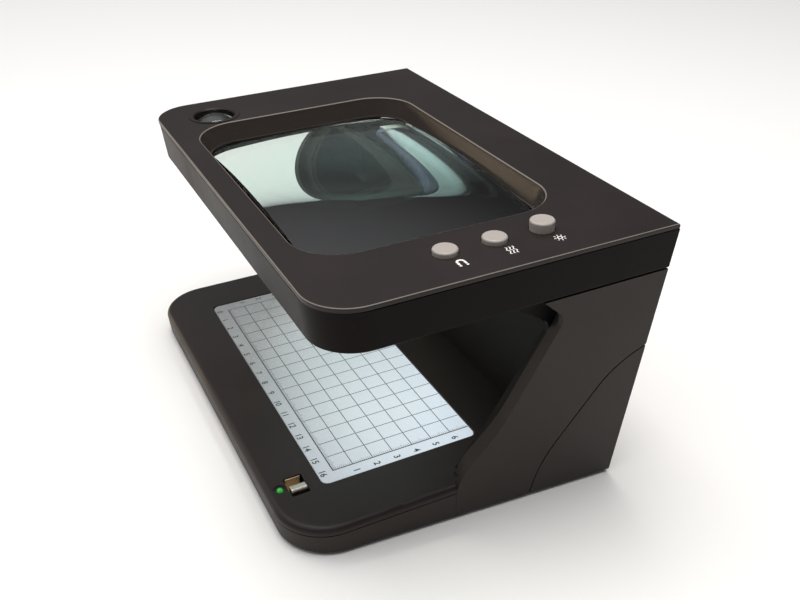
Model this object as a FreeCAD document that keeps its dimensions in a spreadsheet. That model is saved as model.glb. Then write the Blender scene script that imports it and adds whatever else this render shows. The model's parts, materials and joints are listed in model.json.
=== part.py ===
import FreeCAD, Part
import math
import os

import Sketcher
from FreeCAD import Placement, Rotation, Vector

# Banknote and document magnifier.  Every piece is drawn in the frame of the light plate: X to the
# user's right, Y away from the user, Z out of the plate, with Z = 0 on the plate's face and Y = 0 on
# the grid's first line.  The whole machine is then tipped by the wedge angle of its base, so that
# its feet stand flat on the table.

# ---------------------------------------------------------------------------------------------
# Driving dimensions, in millimetres unless the note says otherwise
# ---------------------------------------------------------------------------------------------
SIZES = [
    ("base_width", 231.6, "width of the base at the plate's face"),
    ("base_front", 32.5, "base's front face, in front of the grid's first line"),
    ("body_back", 131.8, "back face at the plate's height, behind the grid's first line"),
    ("base_corner", 24.0, "radius of the base's front corners"),
    ("flare", 0.098, "outward lean of the sides, front and back, per mm of height"),
    ("table_slope", 0.0726, "fall of the base's underside, per mm towards the back"),
    ("table_drop", 15.2, "table below the plate at the grid's first line"),
    ("shell_wall", 2.5, "wall of the moulded shells"),
    ("cover_drop", 3.9, "height of the top cover's edge"),
    ("seam_gap", 0.5, "height of the groove between two shells"),
    ("side_stop", 44.4, "where the base's wide front part ends and the cheeks begin"),
    ("bay_half", 103.2, "half width of the base between the cheeks"),
    ("rear_wall", 116.0, "back wall of the lower shell"),
    ("plate_width", 174.6, "light plate, across"),
    ("plate_depth", 77.0, "light plate, front to back"),
    ("plate_thick", 3.0, "light plate"),
    ("plate_middle", 31.5, "middle of the light plate and of the grid"),
    ("plate_corner", 3.5, "radius of the plate's corners"),
    ("head_under", 88.0, "underside of the head"),
    ("head_seam", 106.6, "top of the head's tray"),
    ("head_top", 109.2, "top face of the head"),
    ("head_front", 15.1, "head's front face at its underside, before the grid's first line"),
    ("head_corner", 20.0, "radius of the head's front corners"),
    ("column_top", 87.6, "top of the column"),
    ("recess_width", 172.6, "lens recess at the top, across"),
    ("recess_depth", 119.4, "lens recess at the top, front to back"),
    ("recess_corner", 23.0, "radius of the lens recess"),
    ("recess_fall", 9.8, "depth of the lens recess"),
    ("recess_lean", 0.42, "inward lean of the recess wall, per mm of depth"),
    ("lens_middle", 54.0, "middle of the lens, behind the grid's first line"),
    ("lens_dome", 600.0, "radius of both faces of the lens"),
    ("lens_rim", 2.0, "thickness of the lens's flat rim"),
    ("lens_height", 97.7, "middle plane of the lens"),
    ("loupe_side", 101.0, "loupe, to the left of the middle"),
    ("loupe_ahead", 12.0, "loupe, behind the grid's first line"),
    ("loupe_radius", 13.5, "outside of the loupe's barrel"),
    ("button_side", 103.0, "push buttons, to the right of the middle"),
    ("button_first", 45.4, "nearest button, behind the grid's first line"),
    ("button_pitch", 22.4, "from one button to the next"),
    ("button_radius", 5.3, "push button cap"),
    ("button_latched", 2.1, "height of a latched cap above the head"),
    ("button_out", 4.2, "height of a released cap above the head"),
    ("cheek_thick", 12.0, "a cheek with its liner"),
    ("cheek_skin", 3.0, "outer wall of a cheek, and a liner's wall"),
    ("tube_radius", 8.0, "ultraviolet tube"),
    ("tube_length", 136.0, "glass of the ultraviolet tube"),
    ("tube_ahead", 102.0, "axis of the tube, behind the grid's first line"),
    ("tube_height", 75.0, "axis of the tube above the plate"),
    ("foot_radius", 7.0, "rubber foot"),
    ("foot_stand", 2.0, "how far a foot stands out of the base"),
]

doc = FreeCAD.newDocument("magnifier")
sheet = doc.addObject("Spreadsheet::Sheet", "Sizes")
for line, (alias, number, note) in enumerate(SIZES, start=1):
    sheet.set(f"A{line}", alias)
    sheet.set(f"B{line}", str(number))
    sheet.set(f"C{line}", note)
    sheet.setAlias(f"B{line}", alias)
doc.recompute()


class Dim:
    """A length that knows its number and the sheet formula that it comes from."""

    def __init__(self, number, formula=None):
        self.number = float(number)
        self.formula = formula or f"{float(number):.6g}"

    def joined(self, other, sign, number):
        other = as_dim(other)
        return Dim(number, f"({self.formula} {sign} {other.formula})")

    def __add__(self, other):
        return self.joined(other, "+", self.number + as_dim(other).number)

    def __sub__(self, other):
        return self.joined(other, "-", self.number - as_dim(other).number)

    def __mul__(self, other):
        return self.joined(other, "*", self.number * as_dim(other).number)

    def __truediv__(self, other):
        return self.joined(other, "/", self.number / as_dim(other).number)

    def __neg__(self):
        return Dim(-self.number, f"(-1 * {self.formula})")

    def __radd__(self, other):
        return as_dim(other) + self

    def __rsub__(self, other):
        return as_dim(other) - self

    def __rmul__(self, other):
        return as_dim(other) * self


def as_dim(value):
    return value if isinstance(value, Dim) else Dim(value)


D = {alias: Dim(number, f"Sizes.{alias}") for alias, number, note in SIZES}

FLARE_ANGLE = Dim(math.degrees(math.atan(D["flare"].number)), "atan(Sizes.flare)")
WEDGE_ANGLE = Dim(math.degrees(math.atan(D["table_slope"].number)), "atan(Sizes.table_slope)")
FIT = 0.3          # gap between neighbouring pieces
CUT_DEPTH = 60.0   # longer than anything it cuts through
PIECES = []


def side_at(height):
    """Half width of the outside at a height above the plate."""
    return D["base_width"] / 2 + D["flare"] * height


def back_at(height):
    return D["body_back"] + D["flare"] * height


def table_at(ahead):
    """Height of the base's underside (below the plate, so negative) at a place front to back."""
    return -(D["table_drop"] + D["table_slope"] * ahead)


# The row's origin is the middle of the footprint on the table.
wedge = math.radians(WEDGE_ANGLE.number)
tip = Rotation(Vector(1, 0, 0), WEDGE_ANGLE.number)
back_top = Vector(0, back_at(D["head_seam"]).number, D["head_seam"].number)
front_low = Vector(0, -(D["base_front"] - D["flare"] * D["cover_drop"]).number, -D["cover_drop"].number)
middle = (tip.multVec(back_top).y + tip.multVec(front_low).y) / 2
lift = D["table_drop"].number * math.cos(wedge) + D["foot_stand"].number
STAND = Placement(Vector(0, -middle, lift), tip)


# ---------------------------------------------------------------------------------------------
# Small helpers over PartDesign, Sketcher and Part
# ---------------------------------------------------------------------------------------------
def new_body(label):
    body = doc.addObject("PartDesign::Body", label)
    body.Label = label
    PIECES.append(body)
    return body


def place(holder, base, rotation, names):
    """Give a Placement property its numbers and bind its base to the sheet."""
    numbers = Vector(*[as_dim(part).number for part in base])
    setattr(holder, names, Placement(numbers, rotation))
    for axis, part in zip("xyz", base):
        if isinstance(part, Dim):
            holder.setExpression(f"{names}.Base.{axis}", part.formula)


def new_sketch(body, plane, base=(0, 0, 0), rotation=Rotation()):
    """A sketch on one of the body's own origin planes, moved and turned in the plane's own axes."""
    sketch = body.newObject("Sketcher::SketchObject", "Sketch")
    support = [f for f in body.Origin.OriginFeatures if f.Role == plane][0]
    sketch.AttachmentSupport = [(support, "")]
    sketch.MapMode = "FlatFace"
    place(sketch, base, rotation, "AttachmentOffset")
    return sketch


def bind(sketch, constraint, value):
    index = sketch.addConstraint(constraint)
    sketch.setExpression(f"Constraints[{index}]", value.formula)


def fix_point(sketch, geometry, position, across, up):
    bind(sketch, Sketcher.Constraint("DistanceX", -1, 1, geometry, position, across.number), across)
    bind(sketch, Sketcher.Constraint("DistanceY", -1, 1, geometry, position, up.number), up)


def outline(sketch, corners):
    """A closed outline.  Each corner is (across, up) or (across, up, radius)."""
    corners = [tuple(as_dim(part) for part in corner) for corner in corners]
    spots = [Vector(corner[0].number, corner[1].number, 0) for corner in corners]
    count = len(corners)
    reach = []
    for index, corner in enumerate(corners):
        before = (spots[index - 1] - spots[index]).normalize()
        after = (spots[(index + 1) % count] - spots[index]).normalize()
        half = before.getAngle(after) / 2
        radius = corner[2].number if len(corner) > 2 else 0.0
        reach.append((radius / math.tan(half), before, after, half, radius))
    sides = []
    for index in range(count):
        following = (index + 1) % count
        start = spots[index] + reach[index][2] * reach[index][0]
        end = spots[following] + reach[following][1] * reach[following][0]
        sides.append(sketch.addGeometry(Part.LineSegment(start, end), False))
    for index, corner in enumerate(corners):
        length, before, after, half, radius = reach[index]
        arriving, leaving = sides[index - 1], sides[index]
        if radius == 0.0:
            sketch.addConstraint(Sketcher.Constraint("Coincident", arriving, 2, leaving, 1))
            fix_point(sketch, leaving, 1, corner[0], corner[1])
            continue
        inward = (before + after).normalize()
        centre = spots[index] + inward * (radius / math.sin(half))
        first = spots[index] + before * length
        last = spots[index] + after * length
        nearest = centre - inward * radius
        arc = sketch.addGeometry(Part.Arc(first, nearest, last), False)
        turn = (first - centre).cross(last - centre).z
        starts, ends = (1, 2) if turn > 0 else (2, 1)
        sketch.addConstraint(Sketcher.Constraint("Tangent", arriving, 2, arc, starts))
        sketch.addConstraint(Sketcher.Constraint("Tangent", arc, ends, leaving, 1))
        bind(sketch, Sketcher.Constraint("Radius", arc, radius), corner[2])
        spot = sketch.addGeometry(Part.Point(spots[index]), True)
        fix_point(sketch, spot, 1, corner[0], corner[1])
        sketch.addConstraint(Sketcher.Constraint("PointOnObject", spot, 1, arriving))
        sketch.addConstraint(Sketcher.Constraint("PointOnObject", spot, 1, leaving))


def box_outline(sketch, across, up, width, height, radius=0):
    """A rectangle about a middle point, with all four corners alike."""
    across, up = as_dim(across), as_dim(up)
    half_width, half_height = as_dim(width) / 2, as_dim(height) / 2
    corner = (radius,) if as_dim(radius).number else ()
    outline(sketch, [
        (across - half_width, up - half_height) + corner,
        (across + half_width, up - half_height) + corner,
        (across + half_width, up + half_height) + corner,
        (across - half_width, up + half_height) + corner,
    ])


def circle(sketch, across, up, radius):
    across, up, radius = as_dim(across), as_dim(up), as_dim(radius)
    centre = Vector(across.number, up.number, 0)
    ring = sketch.addGeometry(Part.Circle(centre, Vector(0, 0, 1), radius.number), False)
    fix_point(sketch, ring, 3, across, up)
    bind(sketch, Sketcher.Constraint("Radius", ring, radius.number), radius)


def feature(body, kind, sketch, length, taper=None, backwards=False, midplane=False):
    """A Pad or a Pocket, with a check that it changed the body's volume."""
    volume = body.Shape.Volume if body.Tip else 0.0
    made = body.newObject(f"PartDesign::{kind}", kind)
    made.Profile = sketch
    length = as_dim(length)
    made.Length = length.number
    made.setExpression("Length", length.formula)
    made.Reversed = backwards
    made.Midplane = midplane
    if taper is not None:
        made.TaperAngle = taper.number
        made.setExpression("TaperAngle", taper.formula)
    sketch.Visibility = False
    doc.recompute()
    if not made.isValid():
        raise RuntimeError(f"{body.Label}: {made.Name} failed")
    change = body.Shape.Volume - volume
    if (kind == "Pad") != (change > 0) or abs(change) < 0.01:
        raise RuntimeError(f"{body.Label}: {made.Name} changed the volume by {change:.3f}")
    return made


def pad(body, sketch, length, **options):
    return feature(body, "Pad", sketch, length, **options)


def pocket(body, sketch, length, **options):
    return feature(body, "Pocket", sketch, length, **options)


def soften(body, kind, size, chosen):
    """Fillet or Chamfer the edges that a test picks."""
    names = [f"Edge{n}" for n, edge in enumerate(body.Shape.Edges, start=1) if chosen(edge)]
    if not names:
        raise RuntimeError(f"{body.Label}: no edge to soften")
    last = body.Tip
    made = body.newObject(f"PartDesign::{kind}", kind)
    made.Base = (last, names)
    if kind == "Fillet":
        made.Radius = size
    else:
        made.Size = size
    doc.recompute()
    if not made.isValid():
        raise RuntimeError(f"{body.Label}: {made.Name} failed")


def part_object(kind, name, sizes, base=(0, 0, 0), rotation=Rotation()):
    """A Part primitive with its sizes and its place bound to the sheet."""
    made = doc.addObject(f"Part::{kind}", name)
    for key, value in sizes.items():
        value = as_dim(value)
        setattr(made, key, value.number)
        made.setExpression(key, value.formula)
    place(made, base, rotation, "Placement")
    return made


def block(name, width, depth, height, middle_x, middle_y, bottom):
    """A box given by its size, the middle of its footprint and its underside."""
    base = (as_dim(middle_x) - as_dim(width) / 2, as_dim(middle_y) - as_dim(depth) / 2, as_dim(bottom))
    return part_object("Box", name, {"Length": width, "Width": depth, "Height": height}, base)


def rod(name, radius, height, across, ahead, bottom, rotation=Rotation()):
    return part_object("Cylinder", name, {"Radius": radius, "Height": height},
                       (as_dim(across), as_dim(ahead), as_dim(bottom)), rotation)


def combined(kind, name, shapes):
    made = doc.addObject(f"Part::{kind}", name)
    if kind == "Compound":
        made.Links = shapes
    elif kind == "Cut":
        made.Base, made.Tool = shapes
    else:
        made.Shapes = shapes
    return made


def finish_piece(made, label):
    """Name a piece.  A lone primitive goes into a compound, which can be tipped as a whole."""
    if made.TypeId in ("Part::Box", "Part::Cylinder"):
        made = combined("Compound", "Piece", [made])
    made.Label = label
    PIECES.append(made)


def cross_recess(screw, top, head_radius, head_height, rotation):
    """Cut a driver's cross into the outer face of a screw's head."""
    reach, width, depth = head_radius * 1.15, head_radius * 0.26, head_height * 0.6
    arms = []
    for across, along in ((reach, width), (width, reach)):
        corner = rotation.multVec(Vector(-across / 2, -along / 2, -depth))
        base = [as_dim(part) + shift for part, shift in zip(top, corner)]
        sizes = {"Length": across, "Width": along, "Height": 2 * depth}
        arms.append(part_object("Box", "CrossArm", sizes, base, rotation))
    return combined("Cut", "RecessedScrew", [screw, combined("MultiFuse", "Cross", arms)])


def screws(label, spots, shank_radius, head_radius, head_height, shank_length, rotation=Rotation()):
    """Identical pan-head screws: each spot is the underside of a head, the shank runs along +Z."""
    whole = []
    for spot in spots:
        along = rotation.multVec(Vector(0, 0, -head_height))
        below = [as_dim(part) + shift for part, shift in zip(spot, along)]
        head = rod("ScrewHead", head_radius, head_height, *below, rotation=rotation)
        shank = rod("ScrewShank", shank_radius, shank_length, *spot, rotation=rotation)
        solid = combined("MultiFuse", "Screw", [head, shank])
        whole.append(cross_recess(solid, below, head_radius, head_height, rotation))
    finish_piece(combined("Compound", "Screws", whole), label)


FLAT = "XY_Plane"
SIDE = "YZ_Plane"
FRONT = "XZ_Plane"
ON_TABLE = Rotation(Vector(1, 0, 0), -WEDGE_ANGLE.number)


# ---------------------------------------------------------------------------------------------
# Base
# ---------------------------------------------------------------------------------------------
BASE_SCREWS = [(side * 100.0, 2.0) for side in (-1, 1)] + [(side * 92.0, 108.0) for side in (-1, 1)]
SCREW_SEAT = -11.5     # underside of the base screws' heads
POST_TOP = -7.0        # where the lower shell's posts meet the cover's bosses
BOARD_LEVEL = -10.8    # underside of the back-light board
MAIN_LEVEL = -14.6     # underside of the main board
FEET = [(side * 90.0, ahead) for side in (-1, 1) for ahead in (-9.0, 108.0)]


def front_footprint(sketch, height, inset=0.0, reach=0.0):
    """The base's wide front part at a height, set in by an even margin or reaching further back."""
    half = side_at(height) - inset
    front = -(D["base_front"] + D["flare"] * height - inset)
    corner = D["base_corner"] - inset
    outline(sketch, [
        (-half, front, corner), (half, front, corner),
        (half, D["side_stop"] - inset + reach), (-half, D["side_stop"] - inset + reach),
    ])


def rear_footprint(sketch, height, back, inset=0.0):
    """The narrow part between the cheeks, which overlaps the wide front part."""
    half = D["bay_half"] + D["flare"] * height - inset
    start = D["side_stop"] - 12.0
    outline(sketch, [(-half, start), (half, start), (half, back), (-half, back)])


def below_table(sketch):
    """Everything under the plane of the base's underside, seen from the side."""
    outline(sketch, [(-60, table_at(-60)), (-60, -70), (170, -70), (170, table_at(170))])


def lower_shell():
    body = new_body("base_lower_shell")
    top = -(D["cover_drop"] + D["seam_gap"])
    wall = D["shell_wall"] + 0.5
    sketch = new_sketch(body, FLAT, (0, 0, top))
    front_footprint(sketch, top, reach=2.6)
    pad(body, sketch, 26.0, taper=-FLARE_ANGLE, backwards=True)
    sketch = new_sketch(body, FLAT, (0, 0, top))
    rear_footprint(sketch, top, D["rear_wall"])
    pad(body, sketch, 26.0, taper=-FLARE_ANGLE, backwards=True)
    # the flare leans the wide part's back end too, so that end is cut upright to meet the cheeks
    sketch = new_sketch(body, FLAT)
    for side in (-1, 1):
        inner, outer, stop = D["bay_half"] - 1.6, D["base_width"] / 2 + 4, D["side_stop"]
        outline(sketch, [
            (side * inner, stop), (side * outer, stop), (side * outer, stop + 4), (side * inner, stop + 4),
        ])
    pocket(body, sketch, CUT_DEPTH)
    sketch = new_sketch(body, FLAT, (0, 0, top))
    front_footprint(sketch, top, wall)
    pocket(body, sketch, 30.0, taper=-FLARE_ANGLE)
    sketch = new_sketch(body, FLAT, (0, 0, top))
    rear_footprint(sketch, top, D["rear_wall"] - wall, wall)
    pocket(body, sketch, 30.0, taper=-FLARE_ANGLE)
    # a lip inside the groove, which the cover's edge drops over
    lip = new_sketch(body, FLAT, (0, 0, -8.0))
    front_ring(lip, 2.8, 3.8)
    pad(body, lip, 5.0)
    # posts for the cover's screws and for the two boards
    sketch = new_sketch(body, FLAT, (0, 0, POST_TOP - 0.1))
    for across, ahead in BASE_SCREWS:
        circle(sketch, across, ahead, 4.2)
    pad(body, sketch, 20.0, backwards=True)
    sketch = new_sketch(body, FLAT, (0, 0, BOARD_LEVEL - 0.1))
    for across in (-70, 70):
        for ahead in (6, 57):
            circle(sketch, across, ahead, 2.5)
    pad(body, sketch, 16.0, backwards=True)
    sketch = new_sketch(body, FLAT, (0, 0, MAIN_LEVEL - 0.1))
    for across in (-54, 54):
        for ahead in (76, 106):
            circle(sketch, across, ahead, 2.5)
    pad(body, sketch, 16.0, backwards=True)
    # the underside is cut to the table's slope, then closed with a floor
    sketch = new_sketch(body, SIDE)
    below_table(sketch)
    pocket(body, sketch, 300.0, midplane=True)
    sketch = new_sketch(body, FLAT, (0, 0, -D["table_drop"]), ON_TABLE)
    outline(sketch, [
        (-113, -30, 22), (113, -30, 22), (113, D["side_stop"] - 1), (109.6, D["side_stop"] - 1),
        (109.6, 126.2), (-109.6, 126.2), (-109.6, D["side_stop"] - 1), (-113, D["side_stop"] - 1),
    ])
    pad(body, sketch, D["shell_wall"])
    # screw holes: a wide well for the head below, a narrow hole above
    sketch = new_sketch(body, FLAT, (0, 0, SCREW_SEAT))
    for across, ahead in BASE_SCREWS:
        circle(sketch, across, ahead, 3.2)
    pocket(body, sketch, 20.0)
    sketch = new_sketch(body, FLAT, (0, 0, POST_TOP + 1))
    for across, ahead in BASE_SCREWS:
        circle(sketch, across, ahead, 1.65)
    pocket(body, sketch, 20.0)
    # shallow seats for the feet
    sketch = new_sketch(body, FLAT, (0, 0, -D["table_drop"]), ON_TABLE)
    for across, ahead in FEET:
        circle(sketch, across, ahead, D["foot_radius"] + 0.2)
    pocket(body, sketch, 1.0, backwards=True)


def front_ring(sketch, outer, inner):
    """A band that follows the inside of the front part's wall, open towards the column."""
    half = D["base_width"] / 2
    front = -D["base_front"]
    far = D["side_stop"] - 3.0
    outline(sketch, [
        (-(half - outer), far), (-(half - outer), front + outer, D["base_corner"] - outer),
        (half - outer, front + outer, D["base_corner"] - outer), (half - outer, far),
        (half - inner, far), (half - inner, front + inner, D["base_corner"] - inner),
        (-(half - inner), front + inner, D["base_corner"] - inner), (-(half - inner), far),
    ])


def top_cover():
    body = new_body("base_top_cover")
    bottom = -D["cover_drop"]
    skin = 2.1
    sketch = new_sketch(body, FLAT, (0, 0, bottom))
    front_footprint(sketch, bottom)
    pad(body, sketch, D["cover_drop"], taper=FLARE_ANGLE)
    soften(body, "Fillet", 3.0, lambda edge: edge.BoundBox.ZMin > -0.01
           and edge.BoundBox.YMin < D["side_stop"].number - 0.5)
    sketch = new_sketch(body, FLAT, (0, 0, bottom))
    front_footprint(sketch, bottom, skin)
    pocket(body, sketch, D["cover_drop"] - skin, backwards=True, taper=FLARE_ANGLE)
    sketch = new_sketch(body, FLAT, (0, 0, -skin))
    rear_footprint(sketch, -skin, Dim(121.0))
    pad(body, sketch, skin, taper=FLARE_ANGLE)
    # a tab on each side closes the foot of the cheek's groove
    for side in (-1, 1):
        sketch = new_sketch(body, FLAT, (0, 0, -skin))
        stop, inner = D["side_stop"] - 0.5, D["bay_half"] - 1.0
        edge = side_at(-skin) - D["cheek_skin"] - FIT
        behind = D["bay_half"] + D["cheek_skin"] + FIT
        outline(sketch, [
            (side * inner, stop), (side * edge, stop), (side * edge, stop + 3.6),
            (side * behind, stop + 3.6), (side * behind, stop + 6.2), (side * inner, stop + 6.2),
        ])
        pad(body, sketch, skin)
    # the plate's well: a rim below the cover, a ledge to carry the plate, and an open middle
    centre = D["plate_middle"]
    sketch = new_sketch(body, FLAT, (0, 0, -skin + 0.2))
    box_outline(sketch, 0, centre, D["plate_width"] + 6, D["plate_depth"] + 6, D["plate_corner"])
    pad(body, sketch, 3.8, backwards=True)
    sketch = new_sketch(body, FLAT)
    box_outline(sketch, 0, centre, D["plate_width"] + 0.6, D["plate_depth"] + 0.6, D["plate_corner"])
    pocket(body, sketch, D["plate_thick"] + 0.5)
    sketch = new_sketch(body, FLAT)
    box_outline(sketch, 0, centre, D["plate_width"] - 4, D["plate_depth"] - 4, 2)
    pocket(body, sketch, 10.0)
    # the read head's slot and the lamp's hole
    sketch = new_sketch(body, FLAT)
    box_outline(sketch, SLOT[0], SLOT[1], SLOT[2], SLOT[3], 1.0)
    circle(sketch, LED_SPOT[0], LED_SPOT[1], LED_RADIUS + FIT)
    pocket(body, sketch, 5.0)
    sketch = new_sketch(body, FLAT)
    circle(sketch, LED_SPOT[0], LED_SPOT[1], 2.9)
    pocket(body, sketch, 0.4)
    # bosses for the base screws
    sketch = new_sketch(body, FLAT, (0, 0, -skin + 0.2))
    for across, ahead in BASE_SCREWS:
        circle(sketch, across, ahead, 3.6)
    pad(body, sketch, -POST_TOP - skin + 0.1, backwards=True)
    sketch = new_sketch(body, FLAT, (0, 0, POST_TOP - 1))
    for across, ahead in BASE_SCREWS:
        circle(sketch, across, ahead, 1.6)
    pocket(body, sketch, 6.6, backwards=True)


SLOT = (82.0, -17.9, 13.0, 8.8)       # read head's slot: middle across, middle ahead, size
HEAD_SPOT = (84.9, -18.0)             # middle of the read head
HEAD_SIZE = (4.4, 7.4)                # read head, across and front to back
LEAF_SPOT = 76.3                      # far face of the spring's upright leaf
LEAF_WIDTH = 6.8
LED_SPOT = (81.5, -25.5)
LED_RADIUS = 1.5
SENSOR_LEVEL = -8.6


def light_plate():
    body = new_body("light_plate")
    sketch = new_sketch(body, FLAT, (0, 0, -0.3))
    box_outline(sketch, 0, D["plate_middle"], D["plate_width"], D["plate_depth"], D["plate_corner"])
    pad(body, sketch, D["plate_thick"], backwards=True)
    soften(body, "Chamfer", 0.3, lambda edge: edge.BoundBox.ZMin > -0.31)


def light_guide():
    body = new_body("light_guide")
    top = -0.3 - D["plate_thick"].number - 0.3
    sketch = new_sketch(body, FLAT, (0, 0, top))
    box_outline(sketch, 0, D["plate_middle"], D["plate_width"] - 4.6, D["plate_depth"] - 4.6, 1.5)
    pad(body, sketch, 3.0, backwards=True)


def back_light():
    board = block("BackLight", 154, 62, 1.2, 0, D["plate_middle"], BOARD_LEVEL)
    finish_piece(board, "backlight_board")
    lamps = []
    for column in range(8):
        for row in range(3):
            across = (column - 3.5) * 19.0
            ahead = D["plate_middle"] + (row - 1) * 21.0
            lamps.append(block("Lamp", 3.5, 2.8, 1.0, across, ahead, BOARD_LEVEL + 1.2))
    finish_piece(combined("Compound", "Lamps", lamps), "backlight_leds")


def sensor_group():
    finish_piece(block("SensorBoard", 26, 14, 1.2, 84.0, -20.7, SENSOR_LEVEL), "sensor_board")
    # the read head is a shielded steel block with a rounded working face
    body = new_body("magnetic_head")
    sketch = new_sketch(body, FRONT, (0, 0, -HEAD_SPOT[1]))
    left, right = HEAD_SPOT[0] - HEAD_SIZE[0] / 2, HEAD_SPOT[0] + HEAD_SIZE[0] / 2
    outline(sketch, [(left, -4.6), (right, -4.6), (right, 1.9, 1.2), (left, 1.9, 1.2)])
    pad(body, sketch, HEAD_SIZE[1], midplane=True)
    soften(body, "Fillet", 0.4, lambda edge: edge.BoundBox.ZMin > 0.2)
    # a bent leaf of spring bronze carries it and shows beside it in the slot
    body = new_body("magnetic_head_spring")
    sketch = new_sketch(body, FRONT, (0, 0, -HEAD_SPOT[1]))
    near, far = HEAD_SPOT[0] + 1.9, LEAF_SPOT
    outline(sketch, [
        (near, -6.0), (near, -5.6), (far + 0.4, -5.6), (far + 0.4, -0.1), (far, -0.1), (far, -6.0),
    ])
    pad(body, sketch, LEAF_WIDTH, midplane=True)
    sketch = new_sketch(body, FRONT, (0, 0, -HEAD_SPOT[1]))
    outline(sketch, [
        (far, -5.9), (far, SENSOR_LEVEL + 1.3), (far + 3, SENSOR_LEVEL + 1.3), (far + 3, -5.9),
    ])
    pad(body, sketch, LEAF_WIDTH, midplane=True)
    # the status lamp: a round body with a domed end and a collar
    body = new_body("status_led")
    sketch = new_sketch(body, FLAT, (0, 0, SENSOR_LEVEL + 1.3))
    circle(sketch, LED_SPOT[0], LED_SPOT[1], LED_RADIUS)
    pad(body, sketch, -SENSOR_LEVEL - 1.3 + 0.5)
    soften(body, "Fillet", 1.3, lambda edge: edge.BoundBox.ZMin > 0.4)
    sketch = new_sketch(body, FLAT, (0, 0, SENSOR_LEVEL + 1.3))
    circle(sketch, LED_SPOT[0], LED_SPOT[1], LED_RADIUS + 0.4)
    pad(body, sketch, 1.2)


def main_electronics():
    finish_piece(block("MainBoard", 120, 36, 1.5, 0, 91, MAIN_LEVEL), "main_board")
    top = MAIN_LEVEL + 1.6
    core = block("Core", 24, 20, 9.0, -34, 92, top)
    frame = block("Frame", 30, 12, 6.5, -34, 92, top)
    finish_piece(combined("MultiFuse", "Inverter", [core, frame]), "lamp_inverter")
    shell = rod("Shell", 6.0, 8.0, 34, 92, top)
    mouth = rod("Mouth", 1.2, 3.0, 34, 92, top + 6)
    finish_piece(combined("Cut", "Buzzer", (shell, mouth)), "buzzer")


def power_inlet():
    """Barrel socket behind a hole in the rear cover: the plug pushes in along -Y."""
    front_face = as_dim(INLET[2])
    box = block("InletBody", 12, 11, 11, INLET[0], front_face - 5.5, INLET[1] - 5.5)
    level = Rotation(Vector(1, 0, 0), -90)
    nose = rod("InletNose", 3.9, 3.4, INLET[0], front_face - 0.2, INLET[1], level)
    bore = rod("InletBore", 2.8, 12.0, INLET[0], front_face - 8.8, INLET[1], level)
    shell = combined("Cut", "InletShell", (combined("MultiFuse", "InletSolid", [box, nose]), bore))
    pin = rod("InletPin", 1.0, 9.8, INLET[0], front_face - 9.0, INLET[1], level)
    finish_piece(combined("MultiFuse", "Inlet", [shell, pin]), "dc_inlet")


INLET = (70.0, -13.0, 127.2)     # middle across, height, front of the socket's body


def feet():
    discs = []
    for across, ahead in FEET:
        base = (Dim(across), ahead * math.cos(wedge) - math.sin(wedge) * D["foot_stand"],
                -D["table_drop"] - math.cos(wedge) * D["foot_stand"] - ahead * math.sin(wedge))
        disc = part_object("Cylinder", "Foot", {"Radius": D["foot_radius"], "Height": 2.9}, base, ON_TABLE)
        discs.append(disc)
    finish_piece(combined("Compound", "Feet", discs), "rubber_feet")


def base_screws():
    spots = [(across, ahead, SCREW_SEAT - 0.1) for across, ahead in BASE_SCREWS]
    screws("base_screws", spots, 1.45, 2.8, 1.8, 8.2)


# ---------------------------------------------------------------------------------------------
# Column
# ---------------------------------------------------------------------------------------------
def cheek_plane(body, side):
    """A sketch in the leaning plane of a side: across is Y, up is along the side."""
    lean = Rotation(Vector(1, 0, 0), side * FLARE_ANGLE.number)
    return new_sketch(body, SIDE, (0, 0, side * D["base_width"] / 2), lean)


def inset_plane(body, side, inset):
    lean = Rotation(Vector(1, 0, 0), side * FLARE_ANGLE.number)
    offset = side * (D["base_width"] / 2 - inset)
    return new_sketch(body, SIDE, (0, 0, offset), lean)


SLANT = Dim(math.sqrt(1 + D["flare"].number ** 2), "sqrt(1 + Sizes.flare ^ 2)")


def front_curve(shift=0.0, stop=0.0):
    """A cheek's front edge, from the table up to the head, moved back by a shift."""
    start = D["side_stop"] + 0.1
    return [
        (start + shift, (table_at(start + shift) + stop) * SLANT),
        (start + shift, -1.0 * SLANT, 20.0),
        (48.2 + shift, 8.0 * SLANT, 18.0),
        (63.5 + shift, 24.5 * SLANT, 60.0),
        (90.5 + shift, (77.0 - 0.6 * shift) * SLANT, 6.0),
        (79.0 + shift, D["column_top"] * SLANT),
    ]


def seam_curve(shift=0.0):
    """The curved seam between a cheek and the rear cover's flank, from the back edge downward."""
    return [
        (back_at(49.5) + 2, 51.0 - shift), (back_at(49.5), 49.5 - shift),
        (120.0 + shift, 42.5 - shift, 45.0), (87.5 + shift, -2.5, 60.0), (83.2 + shift, -24.0),
    ]


def trim_top(body, level):
    """Cut a leaning piece off level."""
    sketch = new_sketch(body, FLAT, (0, 0, level))
    box_outline(sketch, 0, 90, 300, 120)
    pocket(body, sketch, 10.0, backwards=True)


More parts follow.
